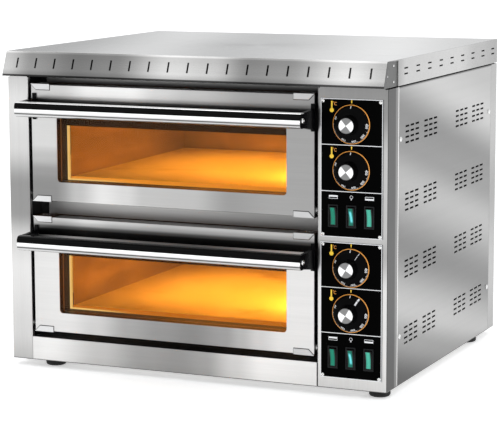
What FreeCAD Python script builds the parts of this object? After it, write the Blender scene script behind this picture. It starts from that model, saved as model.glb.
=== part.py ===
import FreeCAD, Part
import math
import os

import Sketcher

# A two-deck electric pizza oven that stands on a counter.
#
# Frame: +Z up, -Y is the front, the origin is under the middle of the oven on the counter.
# Every length is in millimetres. The driving dimensions are in DIMENSIONS and go into a
# spreadsheet; each sub-part takes its sizes from that sheet through expressions.

DIMENSIONS = {
    # casing
    "body_width": 568,
    "body_depth": 480,
    "body_height": 440,
    "foot_height": 10,
    "front_setback": 220,
    "gauge": 1.2,
    "thin_gauge": 1.0,
    "seam": 0.3,
    "clearance": 2,
    "corner_wrap": 41,
    "rear_wrap": 29.5,
    "hem": 6,
    "panel_height": 403.5,
    "skirt_low": 405,
    "post_width": 32,
    "bezel_width": 99,
    "pan_flange": 18,
    "pan_setback": 12,
    "pan_slot_length": 44,
    "pan_slot_width": 5,
    "pan_slot_side": 60,
    "pan_slot_start": 110,
    "pan_slot_pitch": 80.8,
    "pan_slot_row": 16,
    "side_lip": 11,
    "side_screw_front": 48.5,
    "side_screw_rear": 441,
    "side_screw_low": 67.5,
    "side_screw_high": 334,
    "rear_slot_side": 70,
    "rear_slot_low": 330,
    "rear_slot_length": 30,
    "rear_slot_tall": 3,
    "rear_slot_pitch": 47.3,
    "rear_slot_row": 10,
    "plate_rim": 8,
    # visor
    "visor_reach": 15.4,
    "visor_bend": 1.5,
    "visor_low": 406,
    "visor_lip": 8,
    "visor_end": 7,
    "visor_gap": 2.6,
    "visor_slot_pitch": 29.26,
    "visor_slot_width": 2.4,
    "visor_slot_low": 417.5,
    "visor_slot_high": 431,
    "cheek_end": 39.4,
    "cheek_overlap": 10,
    "cheek_toe": 6,
    "cheek_low": 407.6,
    "fascia_slot_pitch": 48.4,
    "fascia_slot_first": 70.3,
    "fascia_slot_length": 15,
    "fascia_slot_tall": 2,
    "fascia_row_low": 419.5,
    "fascia_row_pitch": 7.5,
    # side louvres
    "louvre_first": 69.5,
    "louvre_length": 14.4,
    "louvre_tall": 2.6,
    "louvre_pitch": 20.1,
    "louvre_low": 52.4,
    "louvre_row": 7.25,
    "cluster_pair": 76.5,
    "cluster_half": 214,
    "louvre_level": 91.2,
    # doors
    "door_gap": 5,
    "door_width": 428,
    "door_height": 166,
    "door_depth": 25,
    "door_low": 42,
    "deck_pitch": 187,
    "window_width": 348,
    "window_low": 28.5,
    "window_high": 121,
    "window_corner": 5,
    "tab_length": 29.5,
    "tab_tall": 8,
    "plug_half": 196,
    "plug_low": 18,
    "plug_high": 138,
    "plug_depth": 50,
    "collar_half": 182,
    "collar_low": 26,
    "collar_high": 122,
    "collar_front": 11,
    "glass_thick": 4,
    "outer_glass_half": 184,
    "glass_overlap": 8,
    "pivot_depth": 10,
    "pivot_high": 10,
    "pin_radius": 3,
    "pin_length": 16,
    "pin_inset": 8,
    "pin_collar_radius": 5,
    "pin_collar_thick": 1.6,
    "pin_gap": 0.4,
    "bearing_radius": 3.06,
    "rivet_radius": 1.3,
    "rivet_head": 0.7,
    "rivet_inset": 8,
    "rivet_pitch": 4.5,
    "rivet_depth": 16,
    # handle
    "bar_high": 134.3,
    "bar_tall": 20.5,
    "bar_front": 53,
    "bar_rear": 38,
    "bar_wall": 2,
    "bar_round": 6.5,
    "bar_back_round": 3,
    "groove_high": 5,
    "groove_deep": 0.8,
    "groove_tall": 1,
    "bar_skin": 1.6,
    "handle_half": 213,
    "handle_shift": 2,
    "bracket_thick": 5,
    "bracket_gap": 0.2,
    "bracket_flare": 37,
    "bracket_flare_low": 116,
    "bracket_heel": 2.5,
    "bracket_drop": 6.7,
    "bracket_rise": 2,
    "bracket_waist": 30,
    "handle_screw_inset": 9,
    # recess and chambers
    "facade_depth": 54,
    "mouth_width": 364,
    "mouth_height": 90,
    "joggle_depth": 30,
    "joggle_width": 1,
    "stone_top": 30,
    "stone_thick": 12,
    "chamber_floor": 6,
    "chamber_depth": 374,
    "ledge_width": 9,
    "ledge_setback": 4,
    "tube_radius": 3.25,
    "top_tube_high": 112,
    "low_tube_high": 11.5,
    "tube_hole": 4.2,
    "run_pitch": 52,
    "run_front_gap": 30,
    "run_rear_gap": 20,
    "tube_tail": 14,
    "lamp_radius": 17,
    "lamp_gap": 0.5,
    "lamp_length": 10,
    "lamp_reach": 3,
    "lamp_dome": 4,
    "lamp_back": 150,
    "lamp_high": 82,
    "blanket": 25,
    "blanket_setback": 4,
    "side_blanket_low": 52,
    "side_blanket_high": 383.5,
    # controls
    "plate_width": 87,
    "plate_height": 184,
    "plate_thick": 1.5,
    "plate_x": 234.25,
    "plate_low": 15,
    "plate_pitch": 191,
    "plate_screw_inset": 3.3,
    "switch_frame_width": 13.9,
    "switch_frame_tall": 30,
    "switch_frame_proud": 1.5,
    "switch_case_width": 12.4,
    "switch_case_tall": 28,
    "switch_case_depth": 22,
    "switch_room_depth": 12,
    "switch_cutout_gap": 0.2,
    "switch_high": 28.3,
    "switch_pitch": 25.5,
    "knob_low": 89.6,
    "knob_pitch": 61,
    "shaft_radius": 3,
    "shaft_hole": 4,
    "shaft_reach": 13.5,
    "shaft_bore_depth": 14,
    "thermostat_width": 36,
    "thermostat_depth": 28,
    "knob_bore": 3.06,
    "knob_reach": 21,
    "knob_gap": 0.4,
    "skirt_radius": 26,
    "skirt_edge": 1.2,
    "skirt_high": 5.2,
    "skirt_slope": 5.5,
    "dish_high": 6.6,
    "grip_radius": 12.4,
    "grip_low": 8,
    "grip_flare": 1.2,
    "grip_taper": 0.8,
    "grip_round": 0.6,
    "cap_radius": 10.5,
    "cap_gap": 0.06,
    "cap_seat": 0.8,
    "cap_proud": 0.4,
    "cap_bevel": 0.7,
    "rocker_width": 10,
    "rocker_half": 12.6,
    "rocker_tilt": 8,
    "rocker_dip": 1.3,
    "rocker_rise": 3.1,
    "rocker_skirt": 2.5,
    "rocker_draft": 0.3,
    "rocker_keel": 7.5,
    "rocker_keel_half": 5,
    "rocker_side_gap": 0.4,
    "rocker_end_gap": 0.8,
    # feet and fasteners
    "foot_radius": 14.5,
    "foot_left": 228,
    "foot_right": 266,
    "foot_front": 25,
    "foot_rear": 402,
    "foot_bevel": 3,
    "screw_radius": 3.6,
    "screw_head": 2.2,
    "shank_radius": 1.6,
    "plate_screw_hole": 1.8,
    "side_screw_hole": 2.2,
    "side_screw_length": 9,
    "plate_screw_radius": 2.4,
    "plate_screw_head": 1.3,
    "plate_screw_length": 7,
    "cheek_rivet_radius": 1.6,
    "cheek_rivet_head": 0.8,
    "underside_screw_radius": 4,
    "underside_screw_head": 2,
    "underside_screw_inset": 6,
    "rear_screw_side": 20,
    "rear_screw_low": 40,
    "rear_screw_high": 380,
    # supply cable entry
    "gland_x": 235,
    "gland_high": 50,
    "gland_reach": 13.5,
    "gland_bore": 4.1,
    "gland_body": 9.8,
    "gland_hole": 10.2,
    "gland_nut": 14,
    "gland_nut_thick": 5,
    "gland_dome": 11.5,
    "gland_tip": 8,
    "gland_length": 25.5,
}

AXES = {"X": FreeCAD.Vector(1, 0, 0), "Y": FreeCAD.Vector(0, 1, 0), "Z": FreeCAD.Vector(0, 0, 1)}
TURN_Z_TO = {
    "X": FreeCAD.Rotation(FreeCAD.Vector(0, 1, 0), 90),
    "-X": FreeCAD.Rotation(FreeCAD.Vector(0, 1, 0), -90),
    "Y": FreeCAD.Rotation(FreeCAD.Vector(1, 0, 0), -90),
    "-Y": FreeCAD.Rotation(FreeCAD.Vector(1, 0, 0), 90),
    "Z": FreeCAD.Rotation(),
    "-Z": FreeCAD.Rotation(FreeCAD.Vector(1, 0, 0), 180),
}
# The pad of a sketch on XZ_Plane goes towards -Y, so it is reversed to run towards +Y,
# and a pocket is the other way round.
PLANE_SIGN = {"XY_Plane": 1, "XZ_Plane": -1, "YZ_Plane": 1}

doc = FreeCAD.newDocument("pizza_oven")
sheet = doc.addObject("Spreadsheet::Sheet", "sizes")
for row, (alias, value) in enumerate(DIMENSIONS.items(), start=1):
    sheet.set("A%d" % row, alias)
    sheet.set("B%d" % row, str(value))
    sheet.setAlias("B%d" % row, alias)
doc.recompute()

nodes = []


# ---------------------------------------------------------------- lengths that know their formula
def number(length):
    return length.value if isinstance(length, Size) else float(length)


def formula(length):
    return length.text if isinstance(length, Size) else "%.6g" % length


class Size:
    """A length with its value and the sheet formula that gives it."""

    def __init__(self, value, text):
        self.value = value
        self.text = text

    def __add__(self, other):
        return Size(self.value + number(other), "(%s + %s)" % (self.text, formula(other)))

    def __radd__(self, other):
        return Size(number(other) + self.value, "(%s + %s)" % (formula(other), self.text))

    def __sub__(self, other):
        return Size(self.value - number(other), "(%s - %s)" % (self.text, formula(other)))

    def __rsub__(self, other):
        return Size(number(other) - self.value, "(%s - %s)" % (formula(other), self.text))

    def __mul__(self, other):
        return Size(self.value * number(other), "(%s * %s)" % (self.text, formula(other)))

    def __rmul__(self, other):
        return self.__mul__(other)

    def __truediv__(self, other):
        return Size(self.value / number(other), "(%s / %s)" % (self.text, formula(other)))

    def __neg__(self):
        return Size(-self.value, "(0 - %s)" % self.text)


def size(alias):
    return Size(float(DIMENSIONS[alias]), "sizes." + alias)


def bind(item, name, length):
    if isinstance(length, Size):
        item.setExpression(name, length.text)
        return
    parts = name.split(".")
    if len(parts) == 3:
        placement = item.Placement
        setattr(placement.Base, parts[2], length)
        item.Placement = placement
    else:
        setattr(item, name, length)


def place(item, x=0, y=0, z=0, rotation=None):
    if rotation is not None:
        item.Placement = FreeCAD.Placement(item.Placement.Base, rotation)
    for axis, length in (("x", x), ("y", y), ("z", z)):
        bind(item, "Placement.Base." + axis, length)
    return item


# ---------------------------------------------------------------- primitives and booleans
def box(name, x, y, z):
    item = doc.addObject("Part::Box", name)
    bind(item, "Length", x[1] - x[0])
    bind(item, "Width", y[1] - y[0])
    bind(item, "Height", z[1] - z[0])
    return place(item, x[0], y[0], z[0])


def cylinder(name, radius, length, at, towards="Z"):
    item = doc.addObject("Part::Cylinder", name)
    bind(item, "Radius", radius)
    bind(item, "Height", length)
    return place(item, *at, rotation=TURN_Z_TO[towards])


def cone(name, radius_start, radius_end, length, at, towards="Z"):
    item = doc.addObject("Part::Cone", name)
    bind(item, "Radius1", radius_start)
    bind(item, "Radius2", radius_end)
    bind(item, "Height", length)
    return place(item, *at, rotation=TURN_Z_TO[towards])


def fuse(name, pieces):
    item = doc.addObject("Part::MultiFuse", name)
    item.Shapes = pieces
    return item


def cut(name, base, tools):
    item = doc.addObject("Part::Cut", name)
    item.Base = base
    item.Tool = tools[0] if len(tools) == 1 else fuse(name + "_cutters", tools)
    return item


def group(name, pieces):
    item = doc.addObject("Part::Compound", name)
    item.Links = pieces
    return item


def screw(name, radius, head, at, towards, shank=None):
    """A domed head on a surface, with a shank behind it where there is a hole."""
    dome = cone(name + "_head", radius, radius * 0.65, head, at, towards)
    if shank is None:
        return dome
    behind = towards[1:] if towards.startswith("-") else "-" + towards
    stem = cylinder(name + "_shank", size("shank_radius"), shank, at, behind)
    return fuse(name, [dome, stem])


# ---------------------------------------------------------------- PartDesign bodies
def body(name):
    return doc.addObject("PartDesign::Body", name)


def origin_item(owner, role):
    return next(item for item in owner.Origin.OriginFeatures if item.Role == role)


def sketch(owner, plane, offset):
    item = owner.newObject("Sketcher::SketchObject", owner.Name + "_sketch")
    item.AttachmentSupport = [(origin_item(owner, plane), "")]
    item.MapMode = "FlatFace"
    shift = offset * PLANE_SIGN[plane]
    if isinstance(shift, Size):
        item.setExpression("AttachmentOffset.Base.z", shift.text)
    else:
        item.AttachmentOffset = FreeCAD.Placement(FreeCAD.Vector(0, 0, shift), FreeCAD.Rotation())
    return item


def pin_point(item, geometry, point, u, v):
    """Tie a sketch point to the sketch origin by two distances."""
    for kind, length in (("DistanceX", u), ("DistanceY", v)):
        index = item.addConstraint(
            Sketcher.Constraint(kind, -1, 1, geometry, point, number(length)))
        if isinstance(length, Size):
            item.setExpression("Constraints[%d]" % index, length.text)


def outline(item, points):
    """A closed outline of straight lines with every corner tied down."""
    corners = [FreeCAD.Vector(number(u), number(v), 0) for u, v in points]
    lines = []
    for start, end in zip(corners, corners[1:] + corners[:1]):
        lines.append(item.addGeometry(Part.LineSegment(start, end), False))
    for line, follower in zip(lines, lines[1:] + lines[:1]):
        item.addConstraint(Sketcher.Constraint("Coincident", line, 2, follower, 1))
    for line, (u, v) in zip(lines, points):
        pin_point(item, line, 1, u, v)


def circle(item, u, v, radius):
    centre = FreeCAD.Vector(number(u), number(v), 0)
    index = item.addGeometry(Part.Circle(centre, FreeCAD.Vector(0, 0, 1), number(radius)), False)
    pin_point(item, index, 3, u, v)
    limit = item.addConstraint(Sketcher.Constraint("Radius", index, number(radius)))
    if isinstance(radius, Size):
        item.setExpression("Constraints[%d]" % limit, radius.text)


def pad(owner, plane, start, end, *outlines):
    profile = sketch(owner, plane, start)
    for points in outlines:
        outline(profile, points)
    item = owner.newObject("PartDesign::Pad", owner.Name + "_pad")
    item.Profile = profile
    bind(item, "Length", end - start)
    item.Reversed = PLANE_SIGN[plane] < 0
    owner.Tip = item
    return item


def pocket(owner, plane, start, end, outlines=(), circles=()):
    """Cut from start to end along the plane's axis, and make sure that something was cut."""
    doc.recompute()
    volume = owner.Shape.Volume
    profile = sketch(owner, plane, start)
    for points in outlines:
        outline(profile, points)
    for u, v, radius in circles:
        circle(profile, u, v, radius)
    item = owner.newObject("PartDesign::Pocket", owner.Name + "_pocket")
    item.Profile = profile
    bind(item, "Length", end - start)
    item.Reversed = PLANE_SIGN[plane] > 0
    owner.Tip = item
    doc.recompute()
    if owner.Shape.Volume > volume - 0.01:
        raise RuntimeError("a pocket in %s cut nothing" % owner.Name)
    return item


def corners_of(u, v):
    return [(u[0], v[0]), (u[1], v[0]), (u[1], v[1]), (u[0], v[1])]


def edges_along(shape, axis, places):
    """Names of the straight edges along an axis that pass through one of the places."""
    flat = [other for other in "XYZ" if other != axis]
    found = []
    for index, edge in enumerate(shape.Edges, start=1):
        if len(edge.Vertexes) < 2:
            continue
        start = edge.Vertexes[0].Point
        reach = abs((edge.Vertexes[1].Point - start).dot(AXES[axis]))
        if reach < edge.Length * 0.9999 or reach < 0.01:
            continue
        spot = [start.dot(AXES[other]) for other in flat]
        for place_uv in places:
            if all(abs(a - number(b)) < 0.01 for a, b in zip(spot, place_uv)):
                found.append("Edge%d" % index)
    return found


def dress(owner, kind, axis, places, amount):
    """Round or chamfer the edges along an axis at the given places."""
    doc.recompute()
    base = owner.Tip
    names = edges_along(base.Shape, axis, places)
    if len(names) < len(places):
        raise RuntimeError("edges missing on %s" % owner.Name)
    item = owner.newObject("PartDesign::" + kind, owner.Name + "_" + kind.lower())
    item.Base = (base, names)
    bind(item, "Radius" if kind == "Fillet" else "Size", amount)
    owner.Tip = item
    return item


def pattern(owner, feature, first, second=None):
    """Repeat a feature along one or two axes; each is (axis role, pitch, count)."""
    item = owner.newObject("PartDesign::LinearPattern", owner.Name + "_pattern")
    item.Originals = [feature]
    item.Direction = (origin_item(owner, first[0]), [""])
    bind(item, "Length", first[1] * (first[2] - 1))
    item.Occurrences = first[2]
    if second:
        item.Direction2 = (origin_item(owner, second[0]), [""])
        bind(item, "Length2", second[1] * (second[2] - 1))
        item.Occurrences2 = second[2]
    owner.Tip = item
    return item


def revolve(owner, plane, axis, points):
    profile = sketch(owner, plane, 0)
    outline(profile, points)
    item = owner.newObject("PartDesign::Revolution", owner.Name + "_revolution")
    item.Profile = profile
    item.ReferenceAxis = (profile, [axis])
    item.Angle = 360
    owner.Tip = item
    return item


def keep(item, name):
    item.Label = name
    nodes.append(item)
    return item


# ---------------------------------------------------------------- shared places
gauge = size("gauge")
thin = size("thin_gauge")
seam = size("seam")
half = size("body_width") / 2
front = -size("front_setback")
rear = front + size("body_depth")
floor = size("foot_height")
top = floor + size("body_height")
panel_top = floor + size("panel_height")
skirt_low = floor + size("skirt_low")
front_top = top - gauge - seam
post_edge = -half + size("post_width")
bezel_edge = half - size("bezel_width")
door_half = size("door_width") / 2
door_centre = post_edge + size("door_gap") + door_half
facade_front = front + size("facade_depth")
facade_rear = facade_front + gauge
mouth_half = size("mouth_width") / 2
visor_low = floor + size("visor_low")
visor_tip = front - size("visor_reach")
visor_bend = front - size("visor_bend")
chamber_front = facade_rear
chamber_rear = chamber_front + size("chamber_depth")
DECKS = {"lower": 0, "upper": 1}
SIDES = {"left": -1, "right": 1}


def deck_low(deck):
    """Height of the bottom edge of a deck's door."""
    return floor + size("door_low") + size("deck_pitch") * DECKS[deck]


def plate_low(deck):
    """Height of the bottom edge of a deck's control plate."""
    return floor + size("plate_low") + size("plate_pitch") * DECKS[deck]


def span(low, high):
    """The range in rising order, so that mirrored pieces can share one line."""
    return (low, high) if number(low) < number(high) else (high, low)


def on_door(item, deck):
    """Door pieces are drawn from the door's bottom centre at its front plane."""
    return place(item, door_centre, front, deck_low(deck))


# ---------------------------------------------------------------- casing
def make_base_pan():
    pan = body("base_pan_body")
    inner = half - gauge - seam
    start = front + size("pan_setback")
    end = rear - gauge - seam
    pad(pan, "XY_Plane", floor, floor + size("pan_flange"), corners_of((-inner, inner), (start, end)))
    pocket(pan, "XY_Plane", floor + gauge, floor + size("pan_flange"),
           [corners_of((-inner + gauge, inner - gauge), (start, end - gauge))])
    slot_x = -half + size("pan_slot_side")
    slot_y = front + size("pan_slot_start")
    slot = pocket(pan, "XY_Plane", floor, floor + gauge,
                  [corners_of((slot_x, slot_x + size("pan_slot_length")),
                              (slot_y, slot_y + size("pan_slot_width")))])
    pattern(pan, slot, ("X_Axis", size("pan_slot_pitch"), 6), ("Y_Axis", size("pan_slot_row"), 14))
    keep(pan, "base_pan")


def make_side_panel(side):
    sign = SIDES[side]
    panel = body(side + "_side_panel_body")
    outer = half * sign
    inner = (half - gauge) * sign
    start = front + size("corner_wrap") + seam * 2
    end = rear - size("rear_wrap") - seam * 2
    pad(panel, "YZ_Plane", *span(inner, outer), corners_of((start, end), (floor, panel_top)))
    lip_low = floor + size("pan_flange") + size("clearance")
    lips = span(inner, inner - size("side_lip") * sign)
    pad(panel, "YZ_Plane", *lips, corners_of((start, start + gauge), (lip_low, panel_top)),
        corners_of((end - gauge, end), (lip_low, panel_top)))
    dress(panel, "Fillet", "Z", [(outer, start)], gauge * 0.9)
    screws = [(y, z, size("side_screw_hole")) for y, z in side_screw_places()]
    pocket(panel, "YZ_Plane", *span(inner, outer), circles=screws)
    low = floor + size("louvre_low")
    first = front + size("louvre_first")
    cutter = pocket(panel, "YZ_Plane", *span(inner, outer),
                    [corners_of((first, first + size("louvre_length")), (low, low + size("louvre_tall")))])
    repeats = [("Y_Axis", size("louvre_pitch"), 3), ("Z_Axis", size("louvre_row"), 4),
               ("Y_Axis", size("cluster_pair"), 2), ("Y_Axis", size("cluster_half"), 2),
               ("Z_Axis", size("louvre_level"), 4)]
    field = panel.newObject("PartDesign::MultiTransform", side + "_louvres")
    field.Originals = [cutter]
    steps = []
    for role, pitch, count in repeats:
        step = panel.newObject("PartDesign::LinearPattern", side + "_louvre_step")
        step.Direction = (origin_item(panel, role), [""])
        bind(step, "Length", pitch * (count - 1))
        step.Occurrences = count
        steps.append(step)
    field.Transformations = steps
    panel.Tip = field
    keep(panel, side + "_side_panel")


def side_screw_places():
    """Screws of a side panel as (y, z)."""
    return [(front + size("side_screw_" + y), floor + size("side_screw_" + z))
            for y in ("front", "rear") for z in ("low", "high")]


def make_rear_panel():
    panel = body("rear_panel_body")
    wrap = rear - size("rear_wrap")
    pad(panel, "XY_Plane", floor, panel_top,
        [(-half, wrap), (-half, rear), (half, rear), (half, wrap), (half - gauge, wrap),
         (half - gauge, rear - gauge), (-half + gauge, rear - gauge), (-half + gauge, wrap)])
    dress(panel, "Fillet", "Z", [(-half, rear), (half, rear)], gauge)
    pocket(panel, "XZ_Plane", rear - gauge, rear,
           circles=[(size("gland_x"), floor + size("gland_high"), size("gland_hole"))])
    slot_x = -half + size("rear_slot_side")
    slot_z = floor + size("rear_slot_low")
    slot = pocket(panel, "XZ_Plane", rear - gauge, rear,
                  [corners_of((slot_x, slot_x + size("rear_slot_length")),
                              (slot_z, slot_z + size("rear_slot_tall")))])
    pattern(panel, slot, ("X_Axis", size("rear_slot_pitch"), 9), ("Z_Axis", size("rear_slot_row"), 5))
    keep(panel, "rear_panel")


VISOR_SLOTS = 19


def make_top_cover():
    """Lid, sloping visor with a turned-in lip, and the skirts that close the sides and rear."""
    cover = body("top_cover_body")
    lip = visor_tip + size("visor_lip")
    pad(cover, "YZ_Plane", -half, half,
        [(rear, skirt_low), (rear, top), (visor_bend, top), (visor_tip, visor_low), (lip, visor_low),
         (lip, visor_low + gauge), (visor_tip + gauge * 1.5, visor_low + gauge),
         (visor_bend + gauge / 2, top - gauge), (rear - gauge, top - gauge), (rear - gauge, skirt_low)])
    end = size("visor_end")
    for sign in SIDES.values():
        sides = span(half * sign, (half - gauge) * sign)
        pad(cover, "YZ_Plane", *sides,
            corners_of((front + size("cheek_end"), rear), (skirt_low, top)))
        pad(cover, "YZ_Plane", *sides,
            [(visor_bend, top), (visor_tip, visor_low), (visor_tip + end, visor_low),
             (visor_bend + end, top)])
    slot_x = -size("visor_slot_pitch") * (VISOR_SLOTS - 1) / 2 - size("visor_slot_width") / 2
    slot = pocket(cover, "XZ_Plane", visor_tip, visor_bend,
                  [corners_of((slot_x, slot_x + size("visor_slot_width")),
                              (floor + size("visor_slot_low"), floor + size("visor_slot_high")))])
    pattern(cover, slot, ("X_Axis", size("visor_slot_pitch"), VISOR_SLOTS))
    slot_y = front + size("fascia_slot_first") - size("fascia_slot_length") / 2
    slot_z = floor + size("fascia_row_low") - size("fascia_slot_tall") / 2
    slot = pocket(cover, "YZ_Plane", -half, half,
                  [corners_of((slot_y, slot_y + size("fascia_slot_length")),
                              (slot_z, slot_z + size("fascia_slot_tall")))])
    pattern(cover, slot, ("Y_Axis", size("fascia_slot_pitch"), 9),
            ("Z_Axis", size("fascia_row_pitch"), 2))
    keep(cover, "top_cover")


def visor_inside(height):
    """How far forward a piece behind the visor may reach at a height."""
    rise = (height - visor_low) / (top - visor_low)
    return visor_tip + (visor_bend - visor_tip) * rise + size("visor_gap")


def make_visor_cheek(side):
    sign = SIDES[side]
    cheek = body(side + "_visor_cheek_body")
    outer = (half - gauge - seam) * sign
    inner = (half - gauge * 2 - seam) * sign
    low = floor + size("cheek_low")
    end = front + size("cheek_end") + size("cheek_overlap")
    toe = front - size("cheek_toe")
    pad(cheek, "YZ_Plane", *span(inner, outer),
        [(visor_inside(low), low), (visor_inside(front_top), front_top), (end, front_top),
         (end, skirt_low), (toe, skirt_low), (toe, low)])
    keep(cheek, side + "_visor_cheek")


def make_left_front_post():
    post = body("left_front_post_body")
    wrap = front + size("corner_wrap")
    hem = front + size("hem")
    pad(post, "XY_Plane", floor, panel_top,
        [(-half, wrap), (-half, front), (post_edge, front), (post_edge, hem),
         (post_edge - gauge, hem), (post_edge - gauge, front + gauge),
         (-half + gauge, front + gauge), (-half + gauge, wrap)])
    pad(post, "XY_Plane", panel_top, front_top,
        corners_of((-half + gauge * 3, post_edge - gauge), (front, front + gauge)))
    pad(post, "XY_Plane", floor, floor + gauge,
        corners_of((-half + gauge, post_edge - gauge), (front + gauge, front + size("pan_setback") - seam)))
    dress(post, "Fillet", "Z", [(-half, front), (post_edge, front)], gauge)
    keep(post, "left_front_post")


def make_lower_front_panel():
    panel = body("lower_front_panel_body")
    sides = (post_edge + seam, bezel_edge - seam)
    high = floor + size("door_low") - 8.5
    pad(panel, "YZ_Plane", *sides,
        [(front, floor), (front, high), (facade_front - seam, high),
         (facade_front - seam, high - gauge), (front + gauge, high - gauge),
         (front + gauge, floor + gauge), (front + size("pan_setback") - seam, floor + gauge),
         (front + size("pan_setback") - seam, floor)])
    dress(panel, "Fillet", "X", [(front, high)], gauge)
    keep(panel, "lower_front_panel")


def make_control_bezel():
    bezel = body("control_bezel_body")
    wrap = front + size("corner_wrap")
    hem = front + size("hem")
    inside = front + gauge
    pad(bezel, "XY_Plane", floor, panel_top,
        [(bezel_edge, hem), (bezel_edge, front), (half, front), (half, wrap), (half - gauge, wrap),
         (half - gauge, inside), (bezel_edge + gauge, inside), (bezel_edge + gauge, hem)])
    dress(bezel, "Fillet", "Z", [(bezel_edge, front), (half, front)], gauge * 2.5)
    dress(bezel, "Fillet", "Z", [(bezel_edge + gauge, inside), (half - gauge, inside)], gauge * 1.5)
    pad(bezel, "XY_Plane", panel_top, front_top,
        corners_of((bezel_edge + gauge * 3, half - gauge * 3), (front, inside)))
    pad(bezel, "XY_Plane", floor, floor + gauge,
        corners_of((bezel_edge + gauge * 3, half - gauge * 2),
                   (front + gauge / 2, front + size("pan_setback") - seam)))
    rim = size("plate_rim")
    plate_half = size("plate_width") / 2
    windows = []
    screws = []
    for deck in DECKS:
        low = plate_low(deck)
        windows.append(corners_of((size("plate_x") - plate_half + rim, size("plate_x") + plate_half - rim),
                                  (low + rim, low + size("plate_height") - rim)))
        screws += [(size("plate_x") + x, low + z, size("plate_screw_hole"))
                   for x, z in plate_screw_places()]
    pocket(bezel, "XZ_Plane", front, inside, windows, screws)
    keep(bezel, "control_bezel")


def plate_screw_places():
    """Corner screws of a control plate, from the plate's bottom centre."""
    inset = size("plate_screw_inset")
    across = size("plate_width") / 2 - inset
    return [(across * sign, z) for sign in (-1, 1) for z in (inset, size("plate_height") - inset)]


def switch_centres():
    return [(size("switch_pitch") * step, size("switch_high")) for step in (-1, 0, 1)]


def knob_centres():
    return [(0, size("knob_low")), (0, size("knob_low") + size("knob_pitch"))]


def make_control_plate(deck):
    plate = body(deck + "_control_plate_body")
    wide = size("plate_width") / 2
    face = -size("plate_thick")
    pad(plate, "XZ_Plane", face, 0, corners_of((-wide, wide), (0, size("plate_height"))))
    across = size("switch_case_width") / 2 + size("switch_cutout_gap")
    tall = size("switch_case_tall") / 2 + size("switch_cutout_gap")
    windows = [corners_of((x - across, x + across), (z - tall, z + tall)) for x, z in switch_centres()]
    holes = [(x, z, size("shaft_hole")) for x, z in knob_centres()]
    holes += [(x, z, size("plate_screw_hole")) for x, z in plate_screw_places()]
    pocket(plate, "XZ_Plane", face, 0, windows, holes)
    place(plate, size("plate_x"), front, plate_low(deck))
    keep(plate, deck + "_control_plate")


def make_front_facade():
    facade = body("front_facade_body")
    low = floor + gauge + seam
    pad(facade, "XZ_Plane", facade_front, facade_rear,
        corners_of((post_edge + seam, bezel_edge - seam), (low, front_top)))
    mouths = []
    for deck in DECKS:
        sill = deck_low(deck) + size("stone_top")
        mouths.append(corners_of((door_centre - mouth_half, door_centre + mouth_half),
                                 (sill, sill + size("mouth_height"))))
    pocket(facade, "XZ_Plane", facade_front, facade_rear, mouths)
    keep(facade, "front_facade")


def pivot_places():
    """Both door pivots as (y, z)."""
    return [(front + size("pivot_depth"), deck_low(deck) + size("pivot_high")) for deck in DECKS]


def make_left_jamb():
    jamb = body("left_jamb_body")
    inner = post_edge - gauge
    start = front + size("hem") + seam
    low = floor + gauge + seam
    pad(jamb, "YZ_Plane", inner, post_edge, corners_of((start, facade_rear), (low, front_top)))
    joggle = front + size("joggle_depth")
    pocket(jamb, "YZ_Plane", post_edge - gauge / 2, post_edge,
           [corners_of((joggle, joggle + size("joggle_width")), (low, front_top))])
    pocket(jamb, "YZ_Plane", inner, post_edge,
           circles=[(y, z, size("bearing_radius")) for y, z in pivot_places()])
    keep(jamb, "left_jamb")


def make_control_partition():
    wall = body("control_partition_body")
    low = floor + gauge + seam
    pad(wall, "YZ_Plane", bezel_edge, bezel_edge + gauge,
        corners_of((front + size("hem") + seam, rear - gauge * 2 - seam * 2), (low, front_top)))
    pocket(wall, "YZ_Plane", bezel_edge, bezel_edge + gauge,
           circles=[(y, z, size("bearing_radius")) for y, z in pivot_places()])
    keep(wall, "control_partition")


# ---------------------------------------------------------------- chambers
HEATER_RUNS = 6


def run_places():
    """The straight runs of a heater, side by side across the chamber."""
    pitch = size("run_pitch")
    first = door_centre - pitch * (HEATER_RUNS - 1) / 2
    return [first + pitch * step for step in range(HEATER_RUNS)]


def make_chamber_liner(deck):
    low = deck_low(deck) + size("chamber_floor")
    high = deck_low(deck) + size("stone_top") + size("mouth_height")
    left = door_centre - mouth_half
    right = door_centre + mouth_half
    shell = box(deck + "_liner_shell", (left - thin, right + thin),
                (chamber_front, chamber_rear + thin), (low - thin, high + thin))
    cutters = [box(deck + "_liner_room", (left, right), (chamber_front, chamber_rear), (low, high))]
    for level in ("top_tube_high", "low_tube_high"):
        for x in (run_places()[0], run_places()[-1]):
            cutters.append(cylinder(deck + "_tube_hole", size("tube_hole"), thin * 3,
                                    (x, chamber_rear - thin, deck_low(deck) + size(level)), "Y"))
    cutters.append(cylinder(deck + "_lamp_hole", size("lamp_radius") + size("lamp_gap"), thin * 3,
                            (right - thin, chamber_front + size("lamp_back"),
                             deck_low(deck) + size("lamp_high")), "X"))
    room = cut(deck + "_liner_box", shell, cutters)
    ledge_top = deck_low(deck) + size("stone_top") - size("stone_thick")
    ledges = []
    for side_low, side_high in ((left, left + size("ledge_width")), (right - size("ledge_width"), right)):
        ledges.append(box(deck + "_ledge", (side_low, side_high),
                          (chamber_front + size("ledge_setback"), chamber_rear),
                          (ledge_top - thin, ledge_top)))
    keep(fuse(deck + "_liner", [room] + ledges), deck + "_chamber_liner")


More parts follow.
